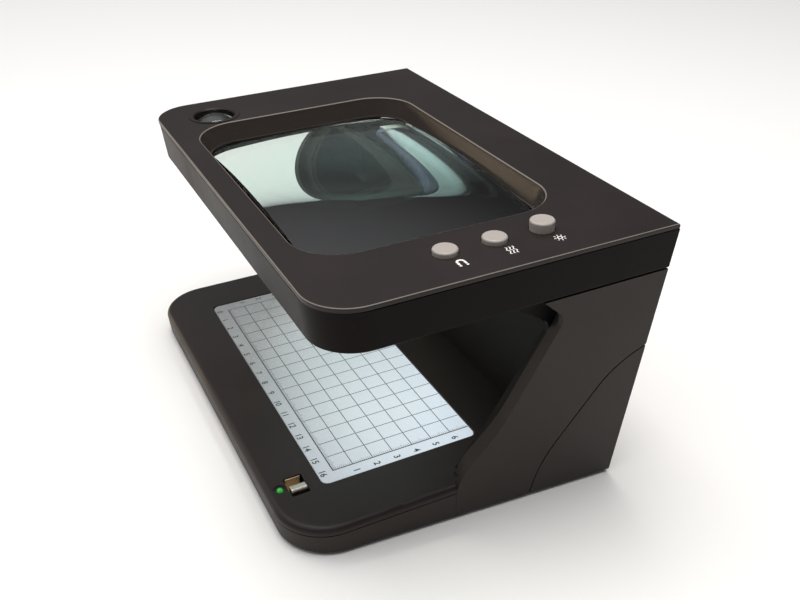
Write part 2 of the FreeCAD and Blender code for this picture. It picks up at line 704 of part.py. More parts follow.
def cheek(side, label):
    body = new_body(label)
    skin = D["cheek_skin"]
    inward = side > 0
    top = D["column_top"] * SLANT
    sketch = cheek_plane(body, side)
    outline(sketch, front_curve() + [(back_at(D["column_top"]), top)] + seam_curve()[1:4]
            + [(83.2, table_at(83.2) * SLANT)])
    pad(body, sketch, skin, backwards=inward)
    # the dark band in the front edge: a web set back between the outer skin and the liner
    sketch = inset_plane(body, side, skin - 0.2)
    ahead, behind = front_curve(3.0, 3.0), front_curve(5.0, 3.0)
    outline(sketch, ahead + behind[::-1])
    pad(body, sketch, 5.9, backwards=inward)
    # a block under the top edge takes the head's screws
    sketch = inset_plane(body, side, skin - 0.2)
    outline(sketch, [(104, 76), (132, 76), (132, top), (104, top)])
    pad(body, sketch, 5.8, backwards=inward)
    trim_top(body, D["column_top"])
    sketch = new_sketch(body, FLAT, (0, 0, D["column_top"]))
    for ahead in COLUMN_SCREWS:
        circle(sketch, side * COLUMN_SCREW_SIDE, ahead, 1.6)
    pocket(body, sketch, 8.0)


COLUMN_SCREW_SIDE = 118.2
COLUMN_SCREWS = (109.0, 127.0)


def liner(side, label):
    """The inner wall of a cheek.  Its front edge sweeps forward at the top, under the head."""
    body = new_body(label)
    start = D["cheek_thick"] - D["cheek_skin"]
    inward = side > 0
    top = (D["column_top"] - 0.2) * SLANT
    sketch = inset_plane(body, side, start)
    outline(sketch, [
        (50.5, -14.0), (50.5, 1.0, 8.0), (66.5, 25.5, 50.0), (91.0, 69.5, 6.0), (73.0, 81.5, 5.0),
        (70.0, top), (133.0, top), (124.0, -14.0),
    ])
    pad(body, sketch, D["cheek_skin"], backwards=inward)
    trim_top(body, D["column_top"] - 0.2)
    # bosses for the rear cover's screws
    sketch = inset_plane(body, side, D["cheek_thick"] - 0.2)
    for level in REAR_SCREW_LEVELS:
        outline(sketch, [(114, level - 4.5), (126, level - 4.5), (126, level + 4.5), (114, level + 4.5)])
    pad(body, sketch, 9.0, backwards=inward)
    sketch = new_sketch(body, FRONT, (0, 0, -140))
    for level in REAR_SCREW_LEVELS:
        circle(sketch, side * rear_screw_side(level), level, 1.6)
    pocket(body, sketch, 30.0, backwards=True)


REAR_SCREW_LEVELS = (13.0, 70.0)


def rear_screw_side(level):
    return (side_at(level) - D["cheek_thick"] - 4.6)


def lamp_housing():
    """The column's black front wall, bent forward at the top to carry the lamp's window."""
    body = new_body("lamp_housing_panel")
    sketch = new_sketch(body, SIDE)
    outline(sketch, PANEL_FRONT + PANEL_BACK[::-1])
    width = 2 * (D["bay_half"] + D["flare"] * D["column_top"])
    pad(body, sketch, width, midplane=True)
    # both ends lean with the liners
    sketch = new_sketch(body, FRONT)
    for side in (-1, 1):
        outline(sketch, [
            (side * D["bay_half"], -2), (side * (D["bay_half"] + D["flare"] * 92), 92),
            (side * 140, 92), (side * 140, -2),
        ])
    pocket(body, sketch, 400.0, midplane=True)
    sketch = window_sketch(body)
    box_outline(sketch, 0, 0, 138.0, 9.6, 1.0)
    pocket(body, sketch, 8.0, midplane=True)


PANEL_FRONT = [(98.0, 0.3), (101.0, 56.0), (91.5, 66.5), (79.5, 77.5), (79.5, 86.1)]
PANEL_BACK = [(100.4, 0.3), (103.4, 57.1), (93.1, 68.3), (81.9, 78.6), (81.9, 86.1)]
WINDOW_SPOT = ((91.5 + 79.5) / 2, (66.5 + 77.5) / 2)
WINDOW_TURN = math.degrees(math.atan2(77.5 - 66.5, 79.5 - 91.5))


def window_sketch(body, behind=0.0):
    """A sketch on the slanted part of the housing: across is X, up runs along the slant."""
    turn = math.radians(WINDOW_TURN)
    ahead = WINDOW_SPOT[0] + behind * math.sin(turn)
    level = WINDOW_SPOT[1] - behind * math.cos(turn)
    return new_sketch(body, FLAT, (0, ahead, level), Rotation(Vector(1, 0, 0), WINDOW_TURN))


def ultraviolet_lamp():
    body = new_body("uv_filter")
    sketch = window_sketch(body, 2.5)
    box_outline(sketch, 0, 0, 146.0, 13.0, 1.0)
    pad(body, sketch, 1.5, backwards=True)
    along = Rotation(Vector(0, 1, 0), 90)
    ahead, level = D["tube_ahead"], D["tube_height"]
    half = D["tube_length"] / 2
    glass = rod("Glass", D["tube_radius"], D["tube_length"], -half, ahead, level, along)
    caps = []
    for side in (-1, 1):
        cap_base = (side * half if side > 0 else -half - 5.0, ahead, level)
        caps.append(part_object("Cylinder", "TubeCap", {"Radius": 7.4, "Height": 5.0}, cap_base, along))
    finish_piece(combined("MultiFuse", "Tube", [glass] + caps), "uv_tube")
    holders = []
    for side in (-1, 1):
        outer = block("Holder", 6.0, 14.0, 14.6, side * (half + 3.4), ahead + 3.0, level - 6.0)
        bore_start = half - 0.5 if side > 0 else -half - 5.3
        hole = rod("HolderBore", 7.7, 5.8, bore_start, ahead, level, along)
        holders.append(combined("Cut", "TubeHolder", (outer, hole)))
    finish_piece(combined("Compound", "Holders", holders), "tube_holders")
    body = new_body("lamp_reflector")
    sketch = new_sketch(body, SIDE)
    trough(sketch, ahead.number, level.number, 10.0, 10.6)
    pad(body, sketch, D["tube_length"] - 6, midplane=True)


def trough(sketch, ahead, level, inner, outer):
    """Half a ring about the tube's axis, open towards the window."""
    centre = Vector(ahead, level, 0)
    opening = math.radians(WINDOW_TURN - 90)
    ends = []
    for radius in (inner, outer):
        start = opening - math.pi / 2
        arc = Part.ArcOfCircle(Part.Circle(centre, Vector(0, 0, 1), radius), start, start + math.pi)
        index = sketch.addGeometry(arc, False)
        bind(sketch, Sketcher.Constraint("Radius", index, radius), Dim(radius))
        sketch.addConstraint(Sketcher.Constraint("Block", index))
        ends.append((arc.StartPoint, arc.EndPoint, index))
    for which, position in ((0, 1), (1, 2)):
        line = sketch.addGeometry(Part.LineSegment(ends[0][which], ends[1][which]), False)
        sketch.addConstraint(Sketcher.Constraint("Coincident", line, 1, ends[0][2], position))
        sketch.addConstraint(Sketcher.Constraint("Coincident", line, 2, ends[1][2], position))


def rear_cover():
    body = new_body("rear_cover")
    wall = D["shell_wall"]
    lean = Rotation(Vector(1, 0, 0), -FLARE_ANGLE.number)
    low, step, high = -24.9, 47.4, D["column_top"] * SLANT
    inner = D["base_width"] / 2 - D["cheek_skin"] - FIT
    sketch = new_sketch(body, FRONT, (0, 0, -D["body_back"]), lean)
    outline(sketch, [
        (-side_at(low), low), (side_at(low), low), (side_at(step), step),
        (inner + D["flare"] * step, step), (inner + D["flare"] * high, high),
        (-(inner + D["flare"] * high), high), (-(inner + D["flare"] * step), step), (-side_at(step), step),
    ])
    pad(body, sketch, wall)
    for side in (-1, 1):
        sketch = cheek_plane(body, side)
        outline(sketch, [
            (back_at(step), step + 1.3), (120.6, 41.9, 45.0), (88.1, -2.8, 60.0),
            (83.8, table_at(83.8)), (back_at(low), low),
        ])
        pad(body, sketch, D["cheek_skin"], backwards=side > 0)
    trim_top(body, D["column_top"])
    sketch = new_sketch(body, SIDE)
    below_table(sketch)
    pocket(body, sketch, 300.0, midplane=True)
    # the hole for the socket's nose, and the screws' holes
    sketch = new_sketch(body, FRONT, (0, 0, -118))
    circle(sketch, INLET[0], INLET[1], 4.1)
    pocket(body, sketch, 40.0)
    sketch = new_sketch(body, FRONT, (0, 0, -118))
    for level in REAR_SCREW_LEVELS:
        for side in (-1, 1):
            circle(sketch, side * rear_screw_side(level), level, 1.7)
    pocket(body, sketch, 40.0)


def rear_screws():
    spots = []
    for level in REAR_SCREW_LEVELS:
        for side in (-1, 1):
            spots.append((side * rear_screw_side(level), back_at(level) + 0.5, level))
    screws("rear_screws", spots, 1.45, 2.9, 1.6, 11.0, Rotation(Vector(1, 0, 0), 90))


# ---------------------------------------------------------------------------------------------
# Head
# ---------------------------------------------------------------------------------------------
HEAD_SCREWS = [(side * 106.0, ahead) for side in (-1, 1) for ahead in (-6.6, 128.0)] + [(0.0, 128.0)]
TRAY_FLOOR = 2.5
FRAME_LEVEL = 94.2


def head_footprint(sketch, height, inset=0.0):
    rise = as_dim(height) - D["head_under"]
    half = side_at(height) - inset
    front = -(D["head_front"] + D["flare"] * rise - inset)
    back = back_at(height) - inset
    corner = D["head_corner"] - inset
    outline(sketch, [
        (-half, front, corner), (half, front, corner), (half, back), (-half, back),
    ])


def lens_outline(sketch, grow=0.0, corner=None):
    """A rounded rectangle that is larger or smaller than the foot of the recess."""
    shrink = 2 * D["recess_fall"] * D["recess_lean"]
    radius = corner or (D["recess_corner"] - D["recess_fall"] * D["recess_lean"] + grow)
    box_outline(sketch, 0, D["lens_middle"], D["recess_width"] - shrink + 2 * grow,
                D["recess_depth"] - shrink + 2 * grow, radius)


def head_tray():
    body = new_body("head_tray")
    bottom, seam = D["head_under"], D["head_seam"]
    wall = D["shell_wall"]
    sketch = new_sketch(body, FLAT, (0, 0, bottom))
    head_footprint(sketch, bottom)
    pad(body, sketch, seam - bottom, taper=FLARE_ANGLE)
    soften(body, "Fillet", 1.2, lambda edge: edge.BoundBox.ZMax < bottom.number + 0.01)
    sketch = new_sketch(body, FLAT, (0, 0, bottom + TRAY_FLOOR))
    head_footprint(sketch, bottom + TRAY_FLOOR, wall)
    pocket(body, sketch, CUT_DEPTH, backwards=True, taper=FLARE_ANGLE)
    # the opening under the lens
    sketch = new_sketch(body, FLAT, (0, 0, bottom + TRAY_FLOOR + 1))
    lens_outline(sketch, -1.0)
    pocket(body, sketch, 10.0)
    # a spigot that drops into the column's rim
    half = side_at(D["column_top"]) - 1.4
    sketch = new_sketch(body, FLAT, (0, 0, bottom + 0.4))
    outline(sketch, [
        (-half, 113.6), (half, 113.6), (half, back_at(D["column_top"]) - 1.4),
        (-half, back_at(D["column_top"]) - 1.4),
    ])
    pad(body, sketch, 0.6, backwards=True)
    for side in (-1, 1):
        sketch = new_sketch(body, FLAT, (0, 0, bottom + 0.4))
        outline(sketch, [
            (side * (half - 9.6), 84), (side * half, 84), (side * half, 114), (side * (half - 9.6), 114),
        ])
        pad(body, sketch, 0.6, backwards=True)
    # posts for the head's screws, and the loupe's socket
    sketch = new_sketch(body, FLAT, (0, 0, bottom + 0.5))
    for across, ahead in HEAD_SCREWS:
        circle(sketch, across, ahead, 4.0)
    pad(body, sketch, 9.0)
    sketch = new_sketch(body, FLAT, (0, 0, bottom + 2.4))
    for across, ahead in HEAD_SCREWS:
        circle(sketch, across, ahead, 3.0)
    pocket(body, sketch, 6.0)
    sketch = new_sketch(body, FLAT, (0, 0, bottom + 12))
    for across, ahead in HEAD_SCREWS:
        circle(sketch, across, ahead, 1.65)
    for side in (-1, 1):
        for ahead in COLUMN_SCREWS:
            circle(sketch, side * COLUMN_SCREW_SIDE, ahead, 1.65)
    circle(sketch, -D["loupe_side"], D["loupe_ahead"], 10.2)
    pocket(body, sketch, 20.0)


def head_cover():
    body = new_body("head_cover")
    bottom, top = D["head_seam"] + D["seam_gap"], D["head_top"]
    skin = 1.8
    lean = Dim(math.degrees(math.atan(D["recess_lean"].number)), "atan(Sizes.recess_lean)")
    sketch = new_sketch(body, FLAT, (0, 0, bottom))
    head_footprint(sketch, bottom)
    pad(body, sketch, top - bottom, taper=FLARE_ANGLE)
    soften(body, "Fillet", 1.4, lambda edge: edge.BoundBox.ZMin > top.number - 0.01
           and edge.BoundBox.YMin > 138)
    soften(body, "Fillet", 0.6, cover_rim)
    sketch = new_sketch(body, FLAT, (0, 0, bottom))
    head_footprint(sketch, bottom, 2.2)
    pocket(body, sketch, top - bottom - skin, backwards=True)
    # a lip inside the groove
    for side in (-1, 1):
        half = side_at(D["head_seam"])
        sketch = new_sketch(body, FLAT, (0, 0, top - skin + 0.2))
        outline(sketch, [
            (side * (half - 4.2), 4), (side * (half - 2.9), 4),
            (side * (half - 2.9), 132), (side * (half - 4.2), 132),
        ])
        pad(body, sketch, 4.4, backwards=True)
    sketch = new_sketch(body, FLAT, (0, 0, top - skin + 0.2))
    front = D["head_front"] + D["flare"] * (D["head_seam"] - D["head_under"])
    outline(sketch, [(-104, -front + 2.9), (104, -front + 2.9), (104, -front + 4.2), (-104, -front + 4.2)])
    pad(body, sketch, 4.4, backwards=True)
    # the recess: a leaning funnel wall below the top, then the open mouth
    funnel = D["recess_fall"] - skin + 0.2
    sketch = new_sketch(body, FLAT, (0, 0, top - skin + 0.2))
    grow = D["recess_lean"] * funnel + 2.0
    lens_outline(sketch, grow)
    pad(body, sketch, funnel, backwards=True, taper=-lean)
    sketch = new_sketch(body, FLAT, (0, 0, top))
    box_outline(sketch, 0, D["lens_middle"], D["recess_width"], D["recess_depth"], D["recess_corner"])
    pocket(body, sketch, D["recess_fall"] - 0.6, taper=-lean)
    sketch = new_sketch(body, FLAT, (0, 0, top))
    lens_outline(sketch, -0.8)
    pocket(body, sketch, 20.0)
    soften(body, "Fillet", 0.9, recess_rim)
    # posts for the lens frame's screws and for the head's screws
    posts = new_sketch(body, FLAT, (0, 0, top - skin + 0.2))
    for across, ahead in LENS_SCREWS:
        circle(posts, across, ahead, 3.0)
    pad(body, posts, top - skin + 0.2 - (FRAME_LEVEL + 2.2), backwards=True)
    posts = new_sketch(body, FLAT, (0, 0, top - skin + 0.2))
    for across, ahead in HEAD_SCREWS:
        circle(posts, across, ahead, 3.6)
    pad(body, posts, top - skin + 0.2 - (D["head_under"] + 9.7), backwards=True)
    holes = new_sketch(body, FLAT, (0, 0, FRAME_LEVEL))
    for across, ahead in LENS_SCREWS + HEAD_SCREWS:
        circle(holes, across, ahead, 1.6)
    pocket(body, holes, 11.6, backwards=True)
    # the buttons' holes and the loupe's
    holes = new_sketch(body, FLAT, (0, 0, top))
    for number in range(3):
        circle(holes, D["button_side"], D["button_first"] + number * D["button_pitch"],
               D["button_radius"] + 0.35)
    circle(holes, -D["loupe_side"], D["loupe_ahead"], D["loupe_radius"] + 0.15)
    pocket(body, holes, 14.0)


def cover_rim(edge):
    """Edges round the head's top face, and down both ends of its rounded back edge."""
    box = edge.BoundBox
    touches = box.ZMax > D["head_top"].number - 0.01
    level = box.ZMin > D["head_top"].number - 0.01
    return touches and (level or box.YMin > 139) and box.XLength < 240


def recess_rim(edge):
    """Edges of the recess's mouth, on the head's top face."""
    box = edge.BoundBox
    level = D["head_top"].number
    inside = abs(box.Center.x) < D["recess_width"].number / 2 + 0.1
    between = -8 < box.Center.y < 116
    return box.ZMin > level - 0.01 and inside and between and edge.Length > 20


LENS_SCREWS = [(side * 92.5, ahead) for side in (-1, 1) for ahead in (36.0, 84.0)]


def lens():
    level = D["lens_height"]
    body = doc.addObject("PartDesign::Body", "LensBlank")
    sketch = new_sketch(body, FLAT, (0, 0, level - 12))
    lens_outline(sketch, -1.6)
    pad(body, sketch, 24.0)
    thick = Dim(8.2)
    middle_y = D["lens_middle"]
    lower = part_object("Sphere", "LowerDome", {"Radius": D["lens_dome"]},
                        (0, middle_y, level + D["lens_dome"] - thick))
    upper = part_object("Sphere", "UpperDome", {"Radius": D["lens_dome"]},
                        (0, middle_y, level - D["lens_dome"] + thick))
    domed = combined("MultiCommon", "Domed", [body, lower, upper])
    rim_body = doc.addObject("PartDesign::Body", "LensRim")
    sketch = new_sketch(rim_body, FLAT, (0, 0, level - D["lens_rim"] / 2))
    lens_outline(sketch, 1.0)
    pad(rim_body, sketch, D["lens_rim"])
    doc.recompute()
    finish_piece(combined("MultiFuse", "Lens", [domed, rim_body]), "main_lens")


def lens_frame():
    body = new_body("lens_frame")
    sketch = new_sketch(body, FLAT, (0, 0, FRAME_LEVEL))
    lens_outline(sketch, 3.6)
    pad(body, sketch, 2.0)
    sketch = new_sketch(body, FLAT, (0, 0, FRAME_LEVEL))
    for across, ahead in LENS_SCREWS:
        box_outline(sketch, across * 0.96, ahead, 16.0, 9.0, 3.0)
    pad(body, sketch, 2.0)
    sketch = new_sketch(body, FLAT, (0, 0, FRAME_LEVEL + 3))
    lens_outline(sketch, -1.2)
    pocket(body, sketch, 10.0)
    sketch = new_sketch(body, FLAT, (0, 0, FRAME_LEVEL + 3))
    for across, ahead in LENS_SCREWS:
        circle(sketch, across, ahead, 1.65)
    pocket(body, sketch, 10.0)
    screws("lens_frame_screws", [(a, b, FRAME_LEVEL - 0.1) for a, b in LENS_SCREWS], 1.45, 2.7, 1.5, 8.0)


def loupe():
    across, ahead = -D["loupe_side"], D["loupe_ahead"]
    low = D["head_under"] + TRAY_FLOOR + 0.2
    body = new_body("loupe_barrel")
    sketch = new_sketch(body, FLAT, (0, 0, low))
    circle(sketch, across, ahead, D["loupe_radius"])
    circle(sketch, across, ahead, D["loupe_radius"] - 2.6)
    pad(body, sketch, D["head_top"] - low + 0.3)
    soften(body, "Chamfer", 0.7, lambda edge: edge.BoundBox.ZMin > D["head_top"].number
           and edge.Length < 2 * math.pi * 12)
    sketch = new_sketch(body, FLAT, (0, 0, D["head_top"] - 7.4))
    circle(sketch, across, ahead, D["loupe_radius"] - 2.0)
    circle(sketch, across, ahead, D["loupe_radius"] - 4.0)
    pad(body, sketch, 1.4, backwards=True)
    radius = D["loupe_radius"] - 2.8
    blank = rod("LoupeBlank", radius, 12.0, across, ahead, D["head_top"] - 7.2)
    dome = part_object("Sphere", "LoupeDome", {"Radius": 15.0},
                       (across, ahead, D["head_top"] + 0.6 - 15.0))
    finish_piece(combined("MultiCommon", "Loupe", [blank, dome]), "loupe_lens")


def buttons():
    names = ("magnetic", "watermark", "ultraviolet")
    raised = (D["button_latched"], D["button_latched"], D["button_out"])
    across = D["button_side"]
    board_y = D["button_first"] + D["button_pitch"]
    floor = D["head_under"] + TRAY_FLOOR
    finish_piece(block("ButtonBoard", 14, 62, 1.5, across, board_y, floor + 0.3), "button_board")
    for number, (name, height) in enumerate(zip(names, raised)):
        ahead = D["button_first"] + number * D["button_pitch"]
        case = block("SwitchCase", 8.5, 8.5, 8.4, across, ahead, floor + 1.9)
        bore = rod("SwitchBore", 2.55, 8.0, across, ahead, floor + 3.2)
        finish_piece(combined("Cut", "Switch", (case, bore)), f"switch_{name}")
        body = new_body(f"button_{name}")
        crown = D["head_top"] + height
        sketch = new_sketch(body, FLAT, (0, 0, crown - 8.0))
        circle(sketch, across, ahead, D["button_radius"])
        pad(body, sketch, 8.0)
        soften(body, "Fillet", 0.9, lambda edge, level=crown.number: edge.BoundBox.ZMin > level - 0.01)
        sketch = new_sketch(body, FLAT, (0, 0, crown - 8.0))
        circle(sketch, across, ahead, D["button_radius"] + 1.0)
        pad(body, sketch, 1.0)
        sketch = new_sketch(body, FLAT, (0, 0, crown - 15.6))
        circle(sketch, across, ahead, 2.2)
        pad(body, sketch, 8.0)


def head_screws():
    spots = [(a, b, D["head_under"] + 2.3) for a, b in HEAD_SCREWS]
    screws("head_screws", spots, 1.45, 2.8, 1.7, 12.0)
    spots = [(side * COLUMN_SCREW_SIDE, ahead, D["head_under"] + TRAY_FLOOR + 1.8)
             for side in (-1, 1) for ahead in COLUMN_SCREWS]
    whole = []
    for across, ahead, level in spots:
        head = rod("ColumnScrewHead", 2.8, 1.7, across, ahead, level - 1.7)
        shank = rod("ColumnScrewShank", 1.45, 11.0, across, ahead, level - 12.6)
        whole.append(combined("MultiFuse", "ColumnScrew", [head, shank]))
    finish_piece(combined("Compound", "ColumnScrews", whole), "column_screws")


lower_shell()
top_cover()
light_plate()
light_guide()
back_light()
sensor_group()
main_electronics()
power_inlet()
feet()
base_screws()
cheek(1, "cheek_right")
cheek(-1, "cheek_left")
liner(1, "liner_right")
liner(-1, "liner_left")
lamp_housing()
ultraviolet_lamp()
rear_cover()
rear_screws()
head_tray()
head_cover()
lens()
lens_frame()
loupe()
buttons()
head_screws()

doc.recompute()
for piece in PIECES:
    piece.Placement = STAND.multiply(piece.Placement)
doc.recompute()

# ---------------------------------------------------------------------------------------------
# Checks, then one file for each piece
# ---------------------------------------------------------------------------------------------
for item in doc.Objects:
    if "Invalid" in item.State or "Error" in item.State:
        raise RuntimeError(f"{item.Label} did not build: {item.State}")
labels = [piece.Label for piece in PIECES]
if len(set(labels)) != len(labels):
    raise RuntimeError("two pieces share a label")
os.makedirs("parts", exist_ok=True)
for piece in PIECES:
    shape = piece.Shape
    if shape.isNull() or not shape.isValid() or shape.Volume <= 0:
        raise RuntimeError(f"{piece.Label} has no sound solid")
    shape.exportStep(f"parts/{piece.Label}.step")
    print(f"{piece.Label:24s} {len(shape.Solids)} solid(s) {shape.Volume / 1000:9.2f} cm3")
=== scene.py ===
import json
import math

import bmesh
import bpy
from bpy.props import FloatProperty, FloatVectorProperty, PointerProperty
from mathutils import Matrix, Vector


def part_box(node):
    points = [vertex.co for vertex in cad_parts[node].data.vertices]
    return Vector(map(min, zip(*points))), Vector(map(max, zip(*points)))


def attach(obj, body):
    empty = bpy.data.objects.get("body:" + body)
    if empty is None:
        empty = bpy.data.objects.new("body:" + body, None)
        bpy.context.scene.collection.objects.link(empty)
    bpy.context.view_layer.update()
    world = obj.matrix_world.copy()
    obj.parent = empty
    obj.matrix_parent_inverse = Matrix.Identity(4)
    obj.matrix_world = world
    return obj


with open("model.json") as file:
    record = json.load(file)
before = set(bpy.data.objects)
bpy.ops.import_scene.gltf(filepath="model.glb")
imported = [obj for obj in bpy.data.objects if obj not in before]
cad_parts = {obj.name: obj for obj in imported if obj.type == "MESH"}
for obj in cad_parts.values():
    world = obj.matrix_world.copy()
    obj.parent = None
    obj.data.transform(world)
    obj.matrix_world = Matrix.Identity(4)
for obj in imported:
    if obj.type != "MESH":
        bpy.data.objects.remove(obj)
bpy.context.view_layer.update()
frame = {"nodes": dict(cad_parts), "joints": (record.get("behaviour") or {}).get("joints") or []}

bl_info = {
    "name": "Document Magnifier",
    "version": (1, 0, 0),
    "blender": (4, 5, 0),
    "location": "View3D > Sidebar > Magnifier",
    "description": "Finishes, printed rule, lamps and studio for a desk magnifier with a lit plate",
    "category": "Object",
}

MM = 0.001
NODES = frame["nodes"]
HOUSING = "housing"
JOINTS = {joint["name"]: joint for joint in frame["joints"]}

# The light plate, in the rule's frame
PLATE_FACE = -0.3 * MM       # the light plate's face, just below the top cover's
PLATE_THICK = 3.0 * MM
PLATE_EDGE = 0.3 * MM        # chamfer round the plate's face
PLATE_BACK = 70.0 * MM       # from the rule's first line to the plate's back edge

# The printed rule
CENTIMETRE = 10 * MM
RULE_COLUMNS = 16            # squares along the plate
RULE_ROWS = 6                # whole squares up the plate
RULE_HALF = RULE_COLUMNS * CENTIMETRE / 2
RULE_TOP = 69.6 * MM         # the upright lines run on to just short of the plate's back edge
LINE_GAP = 1.6               # a row's line stops short of the columns' by this many line widths
BORDER_WIDTH = 1.5           # the bottom and right-hand lines are this many times as wide
TICK_WIDTH = 0.16 * MM
TICK_SHORT = 1.2 * MM
TICK_LONG = 1.9 * MM         # at every fifth millimetre
NUMBERS_BELOW = -4.8 * MM    # middle of the numbers along the bottom line
NUMBERS_BESIDE = 84.6 * MM   # middle of the numbers up each end
FIGURE_SHARE = 0.7           # a figure's height as a share of the font's size
FIGURE_WEIGHT = 0.09 * MM    # thickens the strokes

# The head's cover, in the rule's frame
HEAD_TOP = 109.2 * MM        # its top face
RECESS_MIDDLE = 54 * MM      # middle of the lens recess, away from the user
RECESS_REACH_X = 90 * MM     # half of a box that holds the recess and its wall
RECESS_REACH_Y = 63 * MM
SYMBOL_OFFSET = (10.6 * MM, 1.6 * MM)  # from a button's middle to its symbol's

# The studio, in metres and degrees
CAMERA_SPOT = (0.39573, -0.18211, 0.28909)
CAMERA_TURN = (61.661, -2.254, 64.167)
FLOOR_RADIUS = 6.0
SKY_AIM = (-0.2, -0.25, 0.94)          # towards the brightest part of the sky
SKY_SPREAD = (0.45, 1.0)               # cosines from that aim, from darkest to brightest
SKY_STRENGTH = (0.14, 1.6)


def plate_frame():
    """The rule's own frame: X to the right, Y away from the user along the plate, Z out of it."""
    up = Vector(JOINTS["read_head_travel"]["axis"])
    tip = Matrix.Rotation(math.atan2(-up.y, up.z), 4, "X")
    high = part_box("light_plate")[1]
    lower_edge = tip @ Vector((0, PLATE_BACK, PLATE_FACE - PLATE_THICK))
    upper_edge = tip @ Vector((0, PLATE_BACK - PLATE_EDGE, PLATE_FACE))
    return Matrix.Translation((0, high[1] - lower_edge.y, high[2] - upper_edge.z)) @ tip


PLATE = plate_frame()


# -------------------------------------------------------------------------------------------
# Colours, nodes and meshes
# -------------------------------------------------------------------------------------------
def linear(code):
    """An sRGB hex colour as linear red, green, blue and alpha."""
    parts = [int(code[i:i + 2], 16) / 255 for i in (1, 3, 5)]
    return tuple(p / 12.92 if p <= 0.04045 else ((p + 0.055) / 1.055) ** 2.4 for p in parts) + (1.0,)


def add(tree, kind, settings=None, **inputs):
    """Add a shader node, set its properties, and set or link its inputs by name or by number."""
    made = tree.nodes.new(kind)
    for name, value in (settings or {}).items():
        setattr(made, name, value)
    for name, value in inputs.items():
        key = int(name[1:]) if name[0] == "i" and name[1:].isdigit() else name.replace("_", " ")
        socket = made.inputs[key]
        if isinstance(value, bpy.types.NodeSocket):
            tree.links.new(value, socket)
        else:
            socket.default_value = value
    return made


def new_material(name):
    """An empty node material and its tree."""
    material = bpy.data.materials.new(name)
    material.use_nodes = True
    material.node_tree.nodes.clear()
    return material, material.node_tree


def output(tree, surface):
    """Join a surface shader to the material's output."""
    add(tree, "ShaderNodeOutputMaterial", Surface=surface)


def spacing(length):
    """Texture scale for a pattern whose features lie this far apart, in metres."""
    return 1.0 / length


def coat(material, *names):
    """Put a material on CAD nodes."""
    for name in names:
        for holder in NODES[name].material_slots:
            holder.material = material


def finished(name, mesh, material, body):
    """A new piece from a mesh, riding on a CAD body."""
    piece = bpy.data.objects.new(name, mesh)
    bpy.context.scene.collection.objects.link(piece)
    mesh.materials.append(material)
    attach(piece, body)
    return piece


def slab(bm, outline, level, thick, place):
    """A thin closed slab from an outline in the plate's frame, counter-clockwise from above."""
    low = [bm.verts.new(place @ Vector((x, y, level))) for x, y in outline]
    high = [bm.verts.new(place @ Vector((x, y, level + thick))) for x, y in outline]
    bm.faces.new(low[::-1])
    bm.faces.new(high)
    for a in range(len(outline)):
        b = (a + 1) % len(outline)
        bm.faces.new((low[a], low[b], high[b], high[a]))


def bar(bm, x, y, width, depth, level, thick, place):
    """A thin rectangular slab about a middle point."""
    corners = [(-1, -1), (1, -1), (1, 1), (-1, 1)]
    slab(bm, [(x + i * width / 2, y + j * depth / 2) for i, j in corners], level, thick, place)


def band(bm, x, y, inner, outer, start, end, level, thick, place, steps=20):
    """A thin slab bent round part of a circle; angles are in degrees."""
    angles = [math.radians(start + (end - start) * n / steps) for n in range(steps + 1)]
    rim = [(x + outer * math.cos(a), y + outer * math.sin(a)) for a in angles]
    back = [(x + inner * math.cos(a), y + inner * math.sin(a)) for a in reversed(angles)]
    slab(bm, rim + back, level, thick, place)


def mesh_from(bm, name):
    """Turn a finished bmesh into a mesh."""
    mesh = bpy.data.meshes.new(name)
    bm.to_mesh(mesh)
    bm.free()
    return mesh


# -------------------------------------------------------------------------------------------
# Settings that a user would change
# -------------------------------------------------------------------------------------------
class MagnifierFinish(bpy.types.PropertyGroup):
    shell_colour: FloatVectorProperty(
        name="Shell colour", description="Pigment of the moulded shells",
        subtype="COLOR", size=3, min=0, max=1, default=linear("#1e1715")[:3])
    grain: FloatProperty(
        name="Grain", description="Spacing of the spark-eroded texture on the shells",
        unit="LENGTH", min=0.0001, max=0.005, default=0.7 * MM)
    plate_glow: FloatProperty(
        name="Plate glow", description="Strength of the light behind the plate",
        min=0, max=10, default=0.68)
    lamp_glow: FloatProperty(
        name="Ultraviolet glow", description="Strength of the ultraviolet tube's violet light",
        min=0, max=50, default=0.0)
    line_width: FloatProperty(
        name="Rule line", description="Width of the rule's printed lines",
        unit="LENGTH", min=0.0001, max=0.002, default=0.38 * MM)
    numeral_height: FloatProperty(
        name="Numeral height", description="Height of the rule's printed numbers",
        unit="LENGTH", min=0.001, max=0.008, default=3.1 * MM)


class MagnifierStudio(bpy.types.PropertyGroup):
    focal: FloatProperty(
        name="Focal length", description="Camera lens, in millimetres",
        min=10, max=200, default=42.92)
    key_power: FloatProperty(
        name="Key light", description="Power of the overhead softbox, in watts",
        min=0, max=500, default=13.0)
    floor_colour: FloatVectorProperty(
        name="Floor colour", description="Colour of the studio floor",
        subtype="COLOR", size=3, min=0, max=1, default=linear("#f4f3f1")[:3])


